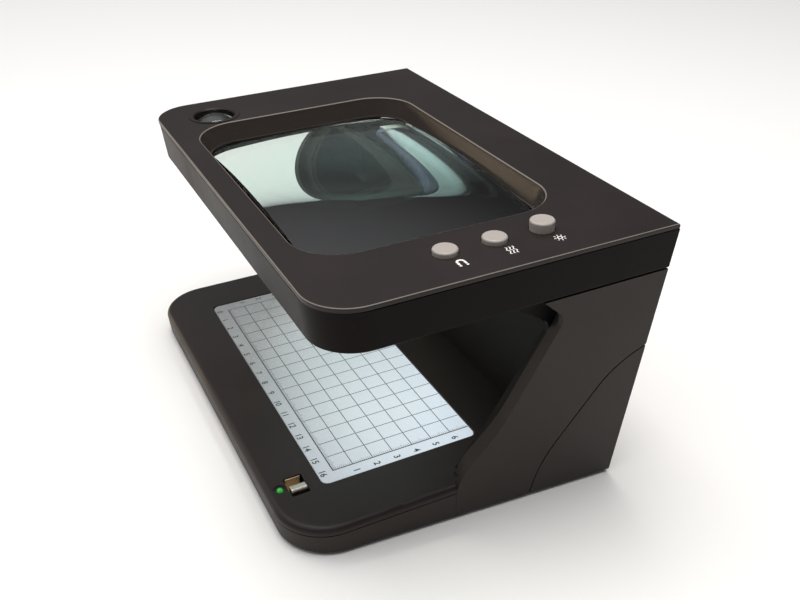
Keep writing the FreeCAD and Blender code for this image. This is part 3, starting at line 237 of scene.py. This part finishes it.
# -------------------------------------------------------------------------------------------
# Materials
# -------------------------------------------------------------------------------------------
def spark_textured_abs(name, colour, grain, gloss, roughness=0.42, relief=0.2, masks=None):
    """Injection-moulded ABS from a spark-eroded mould: a fine even pebble that spreads highlights.

    The real pebble is about 0.15 mm; it is drawn coarser, at the grain given, so that it shows.
    The pebble shades itself, which lowers the gloss below that of a smooth moulding.
    """
    material, tree = new_material(name)
    place = add(tree, "ShaderNodeTexCoord").outputs["Object"]
    pebble = add(tree, "ShaderNodeTexNoise", Vector=place, Scale=spacing(grain), Detail=2.0, Roughness=0.6)
    flow = add(tree, "ShaderNodeTexNoise", Vector=place, Scale=spacing(45 * MM), Detail=3.0, Roughness=0.55)
    dust = add(tree, "ShaderNodeTexNoise", Vector=place, Scale=spacing(1.9 * MM), Detail=4.0, Roughness=0.75)
    speck = add(tree, "ShaderNodeMapRange", Value=dust.outputs["Fac"], From_Min=0.66, From_Max=0.78)
    # Slow changes of tone from the melt's flow, and the pebble's own light and dark
    shade = add(tree, "ShaderNodeMapRange", Value=flow.outputs["Fac"], From_Min=0.3, From_Max=0.7,
                To_Min=0.88, To_Max=1.14)
    spots = add(tree, "ShaderNodeMapRange", Value=pebble.outputs["Fac"], From_Min=0.3, From_Max=0.7,
                To_Min=0.93, To_Max=1.07)
    tone = add(tree, "ShaderNodeMath", {"operation": "MULTIPLY"}, i0=shade.outputs[0], i1=spots.outputs[0])
    base = add(tree, "ShaderNodeVectorMath", {"operation": "SCALE"}, i0=tuple(colour), Scale=tone.outputs[0])
    dusty = add(tree, "ShaderNodeMix", {"data_type": "RGBA"}, A=base.outputs[0], B=linear("#6e655c"))
    share = add(tree, "ShaderNodeMath", {"operation": "MULTIPLY"}, i0=speck.outputs[0], i1=0.22)
    tree.links.new(share.outputs[0], dusty.inputs["Factor"])
    rough = add(tree, "ShaderNodeMapRange", Value=flow.outputs["Fac"], From_Min=0.25, From_Max=0.75,
                To_Min=roughness - 0.06, To_Max=roughness + 0.07)
    tint, finish, depth = dusty.outputs["Result"], rough.outputs[0], relief
    if masks is not None:
        smooth, painted_edge_highlight = masks(tree, place)
        # Painted light: the recess wall is lightened, standing in for the light that falls on it; its
        # smoother finish and shallower relief below are its own
        tint = add(tree, "ShaderNodeMix", {"data_type": "RGBA"}, A=tint, B=linear("#38312d"),
                   Factor=smooth).outputs["Result"]
        # Painted highlight: the rounded edges lightened towards pale grey
        tint = add(tree, "ShaderNodeMix", {"data_type": "RGBA"}, A=tint, B=linear("#a59c92"),
                   Factor=painted_edge_highlight).outputs["Result"]
        finish = add(tree, "ShaderNodeMix", A=finish, B=0.26, Factor=smooth).outputs["Result"]
        plain = add(tree, "ShaderNodeMath", {"operation": "MULTIPLY_ADD"}, i0=smooth, i1=-0.9, i2=1.0)
        depth = add(tree, "ShaderNodeMath", {"operation": "MULTIPLY"}, i0=plain.outputs[0],
                    i1=depth).outputs[0]
    bump = add(tree, "ShaderNodeBump", Height=pebble.outputs["Fac"], Strength=depth, Distance=0.06 * MM)
    shell = add(tree, "ShaderNodeBsdfPrincipled", Base_Color=tint, Roughness=finish, IOR=1.53,
                Specular_IOR_Level=gloss, Normal=bump.outputs["Normal"])
    output(tree, shell.outputs["BSDF"])
    return material


def cover_masks(tree, place):
    """Two masks on the head's cover: its recess wall, polished and lightened with painted light, and its
    rounded edges, lightened as a painted highlight.
    """
    local = add(tree, "ShaderNodeMapping", {"vector_type": "TEXTURE"}, Vector=place,
                Location=PLATE.translation, Rotation=PLATE.to_euler())
    parts = add(tree, "ShaderNodeSeparateXYZ", Vector=local.outputs["Vector"])
    below = add(tree, "ShaderNodeMapRange", Value=parts.outputs["Z"], From_Min=HEAD_TOP - 0.2 * MM,
                From_Max=HEAD_TOP - 1.4 * MM)
    beside = add(tree, "ShaderNodeMath", {"operation": "ABSOLUTE"}, i0=parts.outputs["X"])
    across = add(tree, "ShaderNodeMath", {"operation": "LESS_THAN"}, i0=beside.outputs[0],
                 i1=RECESS_REACH_X)
    ahead = add(tree, "ShaderNodeMath", {"operation": "SUBTRACT"}, i0=parts.outputs["Y"],
                i1=RECESS_MIDDLE)
    offset = add(tree, "ShaderNodeMath", {"operation": "ABSOLUTE"}, i0=ahead.outputs[0])
    along = add(tree, "ShaderNodeMath", {"operation": "LESS_THAN"}, i0=offset.outputs[0],
                i1=RECESS_REACH_Y)
    inside = add(tree, "ShaderNodeMath", {"operation": "MULTIPLY"}, i0=across.outputs[0],
                 i1=along.outputs[0])
    # The recess wall below the top's edge: made smoother, and lightened with painted light
    polished = add(tree, "ShaderNodeMath", {"operation": "MULTIPLY"}, i0=inside.outputs[0],
                   i1=below.outputs[0])
    # The rounded edges are where the surface is turning from upright to facing up; they are lightened as a
    # painted highlight.
    facing = add(tree, "ShaderNodeTexCoord").outputs["Normal"]
    upward = add(tree, "ShaderNodeVectorMath", {"operation": "DOT_PRODUCT"}, i0=facing,
                 i1=PLATE.to_3x3() @ Vector((0, 0, 1)))
    round_start = add(tree, "ShaderNodeMapRange", Value=upward.outputs["Value"], From_Min=0.45, From_Max=0.6)
    round_end = add(tree, "ShaderNodeMapRange", Value=upward.outputs["Value"], From_Min=0.985, From_Max=0.94)
    painted_edge_highlight = add(tree, "ShaderNodeMath", {"operation": "MULTIPLY"}, i0=round_start.outputs[0],
               i1=round_end.outputs[0])
    share = add(tree, "ShaderNodeMath", {"operation": "MULTIPLY"}, i0=painted_edge_highlight.outputs[0], i1=0.5)
    return polished.outputs[0], share.outputs[0]


def opal_acrylic_lit(glow):
    """Extruded opal acrylic: milky and glossy and lit from behind. Its glow grows towards the back right, a
    slope of painted light for ceiling light that the lens focuses onto the plate.
    """
    material, tree = new_material("opal_acrylic_lit")
    place = add(tree, "ShaderNodeTexCoord").outputs["Object"]
    cloud = add(tree, "ShaderNodeTexNoise", Vector=place, Scale=spacing(60 * MM), Detail=2.0)
    veil = add(tree, "ShaderNodeTexNoise", Vector=place, Scale=spacing(0.9 * MM), Detail=3.0)
    scuff = add(tree, "ShaderNodeMapRange", Value=veil.outputs["Fac"], From_Min=0.3, From_Max=0.7,
                To_Min=0.16, To_Max=0.3)
    tone = add(tree, "ShaderNodeMix", {"data_type": "RGBA"}, Factor=cloud.outputs["Fac"],
               A=linear("#8d8c8e"), B=linear("#99999c"))
    # Painted light: the glow grows towards the back right, standing in for ceiling light that the lens
    # focuses onto the plate
    across = add(tree, "ShaderNodeVectorMath", {"operation": "DOT_PRODUCT"}, i0=place,
                 i1=Vector((0.5, 0.87, 0)))
    painted_light_slope = add(tree, "ShaderNodeMapRange", Value=across.outputs["Value"], From_Min=-60 * MM,
                   From_Max=40 * MM)
    light = add(tree, "ShaderNodeMix", {"data_type": "RGBA"}, Factor=painted_light_slope.outputs[0],
                A=(0, 0, 0, 1), B=linear("#dbe8f4"))
    plate = add(tree, "ShaderNodeBsdfPrincipled", Base_Color=tone.outputs["Result"],
                Roughness=scuff.outputs[0], IOR=1.49, Emission_Color=light.outputs["Result"],
                Emission_Strength=glow)
    output(tree, plate.outputs["BSDF"])
    return material


def screen_ink(name, colour):
    """Screen-printed ink: a thin matt film whose cover is a little uneven."""
    material, tree = new_material(name)
    place = add(tree, "ShaderNodeTexCoord").outputs["Object"]
    cover = add(tree, "ShaderNodeTexNoise", Vector=place, Scale=spacing(1.2 * MM), Detail=3.0)
    light, dark = tuple(min(1.0, part * 1.5 + 0.01) for part in colour[:3]), tuple(colour[:3])
    tone = add(tree, "ShaderNodeMix", {"data_type": "RGBA"}, Factor=cover.outputs["Fac"],
               A=dark + (1.0,), B=light + (1.0,))
    ink = add(tree, "ShaderNodeBsdfPrincipled", Base_Color=tone.outputs["Result"], Roughness=0.6)
    output(tree, ink.outputs["BSDF"])
    return material


def polished_glass(name, colour, ior, shade, roughness=0.0, absorption=0.0):
    """Ground and polished glass.  The iron in it turns light greenish blue over a long way inside it.

    Lamps shine through it instead of leaving a solid shadow; shade is the tint that they take.
    """
    material, tree = new_material(name)
    glass = add(tree, "ShaderNodeBsdfPrincipled", Base_Color=colour, Roughness=roughness, IOR=ior,
                Transmission_Weight=1.0)
    clear = add(tree, "ShaderNodeBsdfTransparent", Color=shade)
    path = add(tree, "ShaderNodeLightPath")
    both = add(tree, "ShaderNodeMixShader", i0=path.outputs["Is Shadow Ray"], i1=glass.outputs["BSDF"],
               i2=clear.outputs["BSDF"])
    result = add(tree, "ShaderNodeOutputMaterial", Surface=both.outputs["Shader"])
    if absorption:
        iron = add(tree, "ShaderNodeVolumeAbsorption", Color=linear("#6fe6cd"), Density=absorption)
        tree.links.new(iron.outputs["Volume"], result.inputs["Volume"])
    return material


def plain_finish(name, colour, grain, roughness, metallic=0.0, spread=0.12, relief=0.0, ior=1.5):
    """A finish whose colour, roughness and relief vary at one real grain size."""
    material, tree = new_material(name)
    place = add(tree, "ShaderNodeTexCoord").outputs["Object"]
    pattern = add(tree, "ShaderNodeTexNoise", Vector=place, Scale=spacing(grain), Detail=4.0)
    dark = tuple(part * (1 - spread) for part in colour[:3]) + (1.0,)
    light = tuple(min(1.0, part * (1 + spread)) for part in colour[:3]) + (1.0,)
    tone = add(tree, "ShaderNodeMix", {"data_type": "RGBA"}, Factor=pattern.outputs["Fac"],
               A=dark, B=light)
    rough = add(tree, "ShaderNodeMapRange", Value=pattern.outputs["Fac"], From_Min=0.3, From_Max=0.7,
                To_Min=roughness * 0.85, To_Max=roughness * 1.15)
    surface = add(tree, "ShaderNodeBsdfPrincipled", Base_Color=tone.outputs["Result"],
                  Roughness=rough.outputs[0], Metallic=metallic)
    if not metallic:
        surface.inputs["IOR"].default_value = ior
    if relief:
        bump = add(tree, "ShaderNodeBump", Height=pattern.outputs["Fac"], Strength=0.4, Distance=relief)
        tree.links.new(bump.outputs["Normal"], surface.inputs["Normal"])
    output(tree, surface.outputs["BSDF"])
    return material


def brushed_metal(name, colour, roughness, stretch):
    """Metal whose fine parallel lines draw its highlights out across them.

    Real lines are about 0.05 mm apart; they are drawn at 0.5 mm so that they show.
    """
    material, tree = new_material(name)
    place = add(tree, "ShaderNodeTexCoord").outputs["Object"]
    drawn = add(tree, "ShaderNodeMapping", Vector=place, Scale=stretch)
    lines = add(tree, "ShaderNodeTexNoise", Vector=drawn.outputs["Vector"], Scale=spacing(0.5 * MM),
                Detail=3.0)
    rough = add(tree, "ShaderNodeMapRange", Value=lines.outputs["Fac"], From_Min=0.3, From_Max=0.7,
                To_Min=roughness * 0.7, To_Max=roughness * 1.3)
    bump = add(tree, "ShaderNodeBump", Height=lines.outputs["Fac"], Strength=0.25, Distance=0.02 * MM)
    metal = add(tree, "ShaderNodeBsdfPrincipled", Base_Color=colour, Metallic=1.0,
                Roughness=rough.outputs[0], Normal=bump.outputs["Normal"])
    output(tree, metal.outputs["BSDF"])
    return material


def glowing(name, colour, light, strength, roughness=0.25):
    """A moulded lens or phosphor-coated tube with its own light."""
    material, tree = new_material(name)
    place = add(tree, "ShaderNodeTexCoord").outputs["Object"]
    uneven = add(tree, "ShaderNodeTexNoise", Vector=place, Scale=spacing(2 * MM), Detail=2.0)
    rough = add(tree, "ShaderNodeMapRange", Value=uneven.outputs["Fac"], From_Min=0.3, From_Max=0.7,
                To_Min=0.8 * roughness, To_Max=1.2 * roughness)
    lamp = add(tree, "ShaderNodeBsdfPrincipled", Base_Color=colour, Roughness=rough.outputs[0],
               Emission_Color=light, Emission_Strength=strength)
    output(tree, lamp.outputs["BSDF"])
    return material


# -------------------------------------------------------------------------------------------
# Operators: one for each piece or group of like pieces
# -------------------------------------------------------------------------------------------
class MAGNIFIER_OT_stage(bpy.types.Operator):
    """Camera, studio lights, world and floor"""
    bl_idname = "magnifier.stage"
    bl_label = "Studio"

    def execute(self, context):
        studio = context.scene.magnifier_studio
        self.camera(context, studio.focal)
        self.floor(context, studio.floor_colour)
        self.lights(context, studio.key_power)
        return {"FINISHED"}

    def camera(self, context, focal):
        """A camera above the front right corner."""
        data = bpy.data.cameras.new("studio_camera")
        data.lens = focal
        data.sensor_width = 36.0
        data.clip_start = 0.01
        camera = bpy.data.objects.new("studio_camera", data)
        camera.location = CAMERA_SPOT
        camera.rotation_euler = [math.radians(angle) for angle in CAMERA_TURN]
        context.scene.collection.objects.link(camera)
        context.scene.camera = camera

    def floor(self, context, colour):
        """A wide flat sheet of uncoated paper, dead matt and nearly even."""
        bm = bmesh.new()
        bmesh.ops.create_circle(bm, cap_ends=True, segments=96, radius=FLOOR_RADIUS)
        floor = bpy.data.objects.new("studio_floor", mesh_from(bm, "studio_floor"))
        context.scene.collection.objects.link(floor)
        floor.data.materials.append(
            plain_finish("seamless_paper", tuple(colour) + (1.0,), 1.5 * MM, 0.8, spread=0.01))

    def lights(self, context, power):
        """A soft sky, a softbox overhead and a weak warm lamp at the left."""
        world = bpy.data.worlds.new("studio_world")
        world.use_nodes = True
        tree = world.node_tree
        tree.nodes.clear()
        way = add(tree, "ShaderNodeTexCoord").outputs["Generated"]
        facing = add(tree, "ShaderNodeVectorMath", {"operation": "DOT_PRODUCT"}, i0=way,
                     i1=Vector(SKY_AIM).normalized())
        level = add(tree, "ShaderNodeMapRange", {"interpolation_type": "SMOOTHSTEP"},
                    Value=facing.outputs["Value"], From_Min=SKY_SPREAD[0], From_Max=SKY_SPREAD[1],
                    To_Min=SKY_STRENGTH[0], To_Max=SKY_STRENGTH[1])
        sky = add(tree, "ShaderNodeBackground", Color=linear("#f6f7fa"), Strength=level.outputs[0])
        backdrop = add(tree, "ShaderNodeBackground", Color=linear("#f2f2f1"), Strength=1.0)
        path = add(tree, "ShaderNodeLightPath")
        both = add(tree, "ShaderNodeMixShader", i0=path.outputs["Is Camera Ray"],
                   i1=sky.outputs["Background"], i2=backdrop.outputs["Background"])
        add(tree, "ShaderNodeOutputWorld", Surface=both.outputs["Shader"])
        context.scene.world = world
        context.scene.view_settings.view_transform = "Standard"
        # Name, place, target, size, share of the key light's power, colour
        boxes = (
            ("key_overhead", (0.0, 0.0, 1.4), (0, 0, 0.06), (1.1, 0.8), 1.0, "#fffaf4"),
            ("lamp_left", (-0.5, -0.36, 0.1), (-0.12, -0.08, 0.11), (0.2, 0.12), 0.03, "#ffe0b8"),
        )
        for name, spot, target, size, share, colour in boxes:
            data = bpy.data.lights.new(name, "AREA")
            data.shape = "RECTANGLE"
            data.size, data.size_y = size
            data.energy = power * share
            data.color = linear(colour)[:3]
            lamp = bpy.data.objects.new(name, data)
            lamp.location = spot
            aim = Vector(target) - Vector(spot)
            lamp.rotation_euler = aim.to_track_quat("-Z", "Y").to_euler()
            lamp.visible_camera = False
            context.scene.collection.objects.link(lamp)


class MAGNIFIER_OT_shells(bpy.types.Operator):
    """Moulded shells of base, column and head"""
    bl_idname = "magnifier.shells"
    bl_label = "Shells"

    def execute(self, context):
        finish = context.scene.magnifier_finish
        colour, grain = tuple(finish.shell_colour), finish.grain
        top = spark_textured_abs("spark_textured_abs_black", colour, grain, 0.24)
        coat(top, "base_top_cover", "loupe_barrel")
        # The head's tray: a darker copy of the shell's plastic with almost no sheen, painted shade for the
        # head's dim sides
        tray = spark_textured_abs("spark_textured_abs_painted_shade_black", linear("#120d0b")[:3], grain, 0.06)
        coat(tray, "head_tray")
        # A more matt mould finish in a lighter copy of the shell's colour: painted light for the brighter
        # sides of the column and base
        side = spark_textured_abs("spark_textured_abs_matt_painted_light", linear("#2b2522")[:3], grain, 0.2, 0.5)
        coat(side, "base_lower_shell", "cheek_right", "cheek_left", "rear_cover")
        # The head's cover, with a polished recess wall lightened by painted light and a painted highlight
        # along its rounded edges
        cover = spark_textured_abs("spark_textured_abs_black_cover", colour, grain, 0.24,
                                   masks=cover_masks)
        coat(cover, "head_cover")
        # Dull linings that keep stray light off the plate
        lining = spark_textured_abs("matt_abs_black", linear("#151313")[:3], grain, 0.12, 0.62, 0.08)
        coat(lining, "liner_right", "liner_left", "lamp_housing_panel", "lens_frame")
        return {"FINISHED"}


class MAGNIFIER_OT_light_plate(bpy.types.Operator):
    """Opal light plate with its light guide and lamps"""
    bl_idname = "magnifier.light_plate"
    bl_label = "Light plate"

    def execute(self, context):
        glow = context.scene.magnifier_finish.plate_glow
        coat(opal_acrylic_lit(glow), "light_plate")
        # Cast acrylic with polished edges: pale, even and shiny
        guide = plain_finish("cast_acrylic_clear", linear("#e8f0f2"), 20 * MM, 0.1, spread=0.03)
        coat(guide, "light_guide")
        # Phosphor under silicone: yellowish itself, cool white when lit
        leds = glowing("led_phosphor_white", linear("#f2e9c8"), linear("#f4f6ff"), 2.0)
        coat(leds, "backlight_leds")
        return {"FINISHED"}


class MAGNIFIER_OT_printed_rule(bpy.types.Operator):
    """Centimetre grid, millimetre ticks and numbers printed on the plate"""
    bl_idname = "magnifier.printed_rule"
    bl_label = "Printed rule"

    INK = 0.02 * MM

    def execute(self, context):
        finish = context.scene.magnifier_finish
        ink = screen_ink("screen_ink_black", linear("#232327"))
        lines = self.grid(finish.line_width)
        finished("plate_grid_lines", lines, ink, HOUSING)
        numbers = self.numerals(context, finish.numeral_height)
        finished("plate_numerals", numbers, ink, HOUSING)
        return {"FINISHED"}

    def line(self, bm, x, y, width, depth):
        """A printed bar on the plate."""
        bar(bm, x, y, width, depth, PLATE_FACE, self.INK, PLATE)

    def grid(self, width):
        """Lines stop at each crossing, so that no two slabs overlap."""
        bm = bmesh.new()
        for column in range(RULE_COLUMNS + 1):
            x = -RULE_HALF + column * CENTIMETRE
            wide = width * (BORDER_WIDTH if column == RULE_COLUMNS else 1)
            self.line(bm, x, RULE_TOP / 2, wide, RULE_TOP)
        for row in range(RULE_ROWS + 1):
            wide = width * (BORDER_WIDTH if row == 0 else 1)
            y = row * CENTIMETRE + (wide / 2 if row == 0 else 0)
            for column in range(RULE_COLUMNS):
                x = -RULE_HALF + (column + 0.5) * CENTIMETRE
                self.line(bm, x, y, CENTIMETRE - LINE_GAP * width, wide)
        for step in range(1, RULE_COLUMNS * 10):
            if step % 10:
                reach = self.tick(step)
                self.line(bm, -RULE_HALF + step * MM, 2 * width + reach / 2, TICK_WIDTH, reach)
        for step in range(1, (RULE_ROWS + 1) * 10):
            if step % 10:
                reach = self.tick(step)
                self.line(bm, RULE_HALF - width - reach / 2, step * MM, reach, TICK_WIDTH)
        return mesh_from(bm, "plate_grid_lines")

    def tick(self, step):
        """Length of the tick at a number of millimetres."""
        return TICK_LONG if step % 5 == 0 else TICK_SHORT

    def numerals(self, context, height):
        """Numbers face the user.  Each is a thin extruded text, joined into one mesh."""
        spots = [(str(n), -RULE_HALF + n * CENTIMETRE, NUMBERS_BELOW) for n in range(RULE_COLUMNS + 1)]
        for n in range(1, RULE_ROWS + 1):
            spots += [(str(n), side * NUMBERS_BESIDE, n * CENTIMETRE) for side in (-1, 1)]
        bm = bmesh.new()
        for text, x, y in spots:
            curve = bpy.data.curves.new("numeral", "FONT")
            curve.body = text
            curve.size = height / FIGURE_SHARE
            curve.align_x = "CENTER"
            curve.align_y = "CENTER"
            curve.extrude = self.INK / 2
            curve.resolution_u = 4
            curve.offset = FIGURE_WEIGHT
            holder = bpy.data.objects.new("numeral", curve)
            context.scene.collection.objects.link(holder)
            context.view_layer.update()
            shown = holder.evaluated_get(context.evaluated_depsgraph_get())
            solid = bpy.data.meshes.new_from_object(shown)
            solid.transform(PLATE @ Matrix.Translation((x, y, PLATE_FACE + self.INK / 2)))
            bm.from_mesh(solid)
            bpy.data.objects.remove(holder)
            bpy.data.meshes.remove(solid)
            bpy.data.curves.remove(curve)
        bmesh.ops.remove_doubles(bm, verts=bm.verts, dist=0.001 * MM)
        return mesh_from(bm, "plate_numerals")


class MAGNIFIER_OT_lenses(bpy.types.Operator):
    """Large viewing lens and small loupe"""
    bl_idname = "magnifier.lenses"
    bl_label = "Lenses"

    def execute(self, context):
        # Float glass holds iron, so it is clear face on and greenish blue along its length
        viewer = polished_glass("polished_float_glass", linear("#f2f8f5"), 1.52, linear("#f8fbfa"),
                                absorption=14.0)
        coat(viewer, "main_lens")
        # Crown glass is clearer, and the loupe is too short to colour what is seen
        loupe = polished_glass("polished_crown_glass", linear("#eef6f4"), 1.52, linear("#f6fbfa"))
        coat(loupe, "loupe_lens")
        return {"FINISHED"}


class MAGNIFIER_OT_lamps(bpy.types.Operator):
    """Ultraviolet tube, its filter, holders and reflector"""
    bl_idname = "magnifier.lamps"
    bl_label = "Lamps"

    def execute(self, context):
        glow = context.scene.magnifier_finish.lamp_glow
        # Powder inside glass: chalky lilac when the tube is off
        tube = glowing("phosphor_coated_tube", linear("#8f8ca6"), linear("#5a3cff"), glow)
        coat(tube, "uv_tube")
        # Glass dyed through, nearly black: it passes little but violet
        screen = polished_glass("dyed_filter_glass", linear("#221a48"), 1.5, linear("#221a48"), 0.02)
        coat(screen, "uv_filter")
        # Unpigmented nylon: an off-white with a soft sheen
        holders = plain_finish("moulded_nylon_white", linear("#dcdad2"), 3 * MM, 0.5)
        coat(holders, "tube_holders")
        # Bright strip with rolling lines along the tube, so the lamp's image is drawn out across it
        reflector = brushed_metal("bright_rolled_aluminium", linear("#d6d8dc"), 0.18, (0.02, 1, 1))
        coat(reflector, "lamp_reflector")
        return {"FINISHED"}


class MAGNIFIER_OT_read_head(bpy.types.Operator):
    """Magnetic read head, its leaf spring and the status lamp"""
    bl_idname = "magnifier.read_head"
    bl_label = "Read head"

    def execute(self, context):
        # Lapped smooth for the notes to slide on: a soft mirror of a warm white metal
        shield = plain_finish("lapped_nickel_shield", linear("#cbc4b8"), 1.5 * MM, 0.3,
                              metallic=1.0, spread=0.05)
        coat(shield, "magnetic_head")
        # Rolled strip: golden brown, with its rolling lines across the leaf
        leaf = brushed_metal("rolled_phosphor_bronze", linear("#d8c2a0"), 0.5, (1, 0.05, 1))
        coat(leaf, "magnetic_head_spring")
        # Tinted epoxy with a chip inside: green all through, and brighter when lit
        lamp = glowing("green_epoxy_lamp", linear("#2c8a38"), linear("#2fd048"), 0.3)
        coat(lamp, "status_led")
        return {"FINISHED"}


class MAGNIFIER_OT_buttons(bpy.types.Operator):
    """Push button caps and their switches"""
    bl_idname = "magnifier.buttons"
    bl_label = "Buttons"

    def execute(self, context):
        # Moulded caps, finely matt: pale warm grey with a broad soft highlight
        cap = plain_finish("moulded_abs_light_grey", linear("#a8a19a"), 0.8 * MM, 0.42, spread=0.06,
                           relief=0.03 * MM, ior=1.53)
        coat(cap, "button_magnetic", "button_watermark", "button_ultraviolet")
        # Black nylon switch bodies with the low sheen of a plain mould
        case = plain_finish("moulded_nylon_black", linear("#1c1c1e"), 2 * MM, 0.4)
        coat(case, "switch_magnetic", "switch_watermark", "switch_ultraviolet")
        return {"FINISHED"}


class MAGNIFIER_OT_button_symbols(bpy.types.Operator):
    """Printed pictograms beside the buttons: a magnet, ripples and a lamp"""
    bl_idname = "magnifier.button_symbols"
    bl_label = "Button symbols"

    INK = 0.03 * MM

    def execute(self, context):
        ink = screen_ink("screen_ink_white", linear("#d9d6d1"))
        symbols = (("magnetic", self.magnet), ("watermark", self.ripples), ("ultraviolet", self.lamp))
        right, away = SYMBOL_OFFSET
        for name, draw in symbols:
            low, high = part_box(f"button_{name}")
            middle = PLATE.inverted() @ ((Vector(low) + Vector(high)) / 2)
            place = PLATE @ Matrix.Translation((middle.x + right, middle.y + away, 0))
            bm = bmesh.new()
            draw(bm, place)
            finished(f"symbol_{name}", mesh_from(bm, f"symbol_{name}"), ink, HOUSING)
        return {"FINISHED"}

    def magnet(self, bm, place):
        """A horseshoe lying on its side, with a gap before each pole."""
        inner, outer = 1.0 * MM, 2.0 * MM
        arm, pole = (0.35 * MM, 1.9 * MM), (2.1 * MM, 0.9 * MM)    # middle and length of each
        band(bm, -0.8 * MM, 0, inner, outer, 90, 270, HEAD_TOP, self.INK, place)
        for side in (-1, 1):
            for middle, length in (arm, pole):
                bar(bm, middle, side * (inner + outer) / 2, length, outer - inner, HEAD_TOP, self.INK, place)

    def ripples(self, bm, place):
        """Three wavy lines."""
        steps, half, swell = 24, 2.9 * MM, 0.38 * MM
        pitch, weight = 1.5 * MM, 0.24 * MM        # between the lines, and half a line's width
        for row in (-1, 0, 1):
            xs = [-half + 2 * half * n / steps for n in range(steps + 1)]
            line = [(x, row * pitch + swell * math.sin(x / half * 2 * math.pi)) for x in xs]
            outline = [(x, y - weight) for x, y in line] + [(x, y + weight) for x, y in reversed(line)]
            slab(bm, outline, HEAD_TOP, self.INK, place)

    def lamp(self, bm, place):
        """A ring with eight rays.  The ring stops short of closing, so that its outline is one loop."""
        inner, outer, full = 0.7 * MM, 1.25 * MM, 350
        middle, length, width, rays = 2.15 * MM, 0.9 * MM, 0.42 * MM, 8
        band(bm, 0, 0, inner, outer, 0, full, HEAD_TOP, self.INK, place, steps=30)
        for ray in range(rays):
            turned = place @ Matrix.Rotation(2 * math.pi / rays * ray, 4, "Z")
            bar(bm, middle, 0, length, width, HEAD_TOP, self.INK, turned)


class MAGNIFIER_OT_electronics(bpy.types.Operator):
    """Circuit boards, inverter, buzzer and power socket"""
    bl_idname = "magnifier.electronics"
    bl_label = "Electronics"

    def execute(self, context):
        # Cured solder mask: glossy green, darker and lighter over the copper below
        board = plain_finish("solder_mask_on_glass_fibre", linear("#1f5a35"), 1.5 * MM, 0.35, spread=0.2)
        coat(board, "main_board", "sensor_board", "button_board", "backlight_board")
        # Transfer-moulded epoxy: near black, with the faint roughness of its filler
        part = plain_finish("moulded_epoxy_black", linear("#19191b"), 1 * MM, 0.45, relief=0.02 * MM)
        coat(part, "lamp_inverter", "buzzer", "dc_inlet")
        return {"FINISHED"}


class MAGNIFIER_OT_fittings(bpy.types.Operator):
    """Screws and rubber feet"""
    bl_idname = "magnifier.fittings"
    bl_label = "Fittings"

    def execute(self, context):
        # Zinc plate, passivated clear: a slightly cloudy bright grey
        screw = plain_finish("zinc_plated_steel", linear("#a9abad"), 0.6 * MM, 0.35, metallic=1.0)
        coat(screw, "base_screws", "rear_screws", "lens_frame_screws", "head_screws", "column_screws")
        # Moulded rubber: dead matt, with a soft pebble that takes up dust
        foot = plain_finish("moulded_rubber_black", linear("#232323"), 0.8 * MM, 0.8, relief=0.05 * MM)
        coat(foot, "rubber_feet")
        return {"FINISHED"}


class MAGNIFIER_PT_sidebar(bpy.types.Panel):
    """Lists every operator with the settings that they read"""
    bl_idname = "MAGNIFIER_PT_sidebar"
    bl_label = "Document Magnifier"
    bl_space_type = "VIEW_3D"
    bl_region_type = "UI"
    bl_category = "Magnifier"

    def draw(self, context):
        for operator in OPERATORS:
            self.layout.operator(operator.bl_idname)
        for group in (context.scene.magnifier_finish, context.scene.magnifier_studio):
            for name in group.bl_rna.properties.keys():
                if name not in ("rna_type", "name"):
                    self.layout.prop(group, name)


OPERATORS = (
    MAGNIFIER_OT_stage,
    MAGNIFIER_OT_shells,
    MAGNIFIER_OT_light_plate,
    MAGNIFIER_OT_printed_rule,
    MAGNIFIER_OT_lenses,
    MAGNIFIER_OT_lamps,
    MAGNIFIER_OT_read_head,
    MAGNIFIER_OT_buttons,
    MAGNIFIER_OT_button_symbols,
    MAGNIFIER_OT_electronics,
    MAGNIFIER_OT_fittings,
)
CLASSES = (MagnifierFinish, MagnifierStudio) + OPERATORS + (MAGNIFIER_PT_sidebar,)


def register():
    """Register the classes and hang the settings on the scene."""
    for item in CLASSES:
        bpy.utils.register_class(item)
    bpy.types.Scene.magnifier_finish = PointerProperty(type=MagnifierFinish)
    bpy.types.Scene.magnifier_studio = PointerProperty(type=MagnifierStudio)


def unregister():
    """Undo register()."""
    del bpy.types.Scene.magnifier_studio
    del bpy.types.Scene.magnifier_finish
    for item in reversed(CLASSES):
        bpy.utils.unregister_class(item)


def main():
    """Run every operator in order."""
    register()
    for operator in OPERATORS:
        group, name = operator.bl_idname.split(".")
        getattr(getattr(bpy.ops, group), name)()


if __name__ == "__main__":
    main()
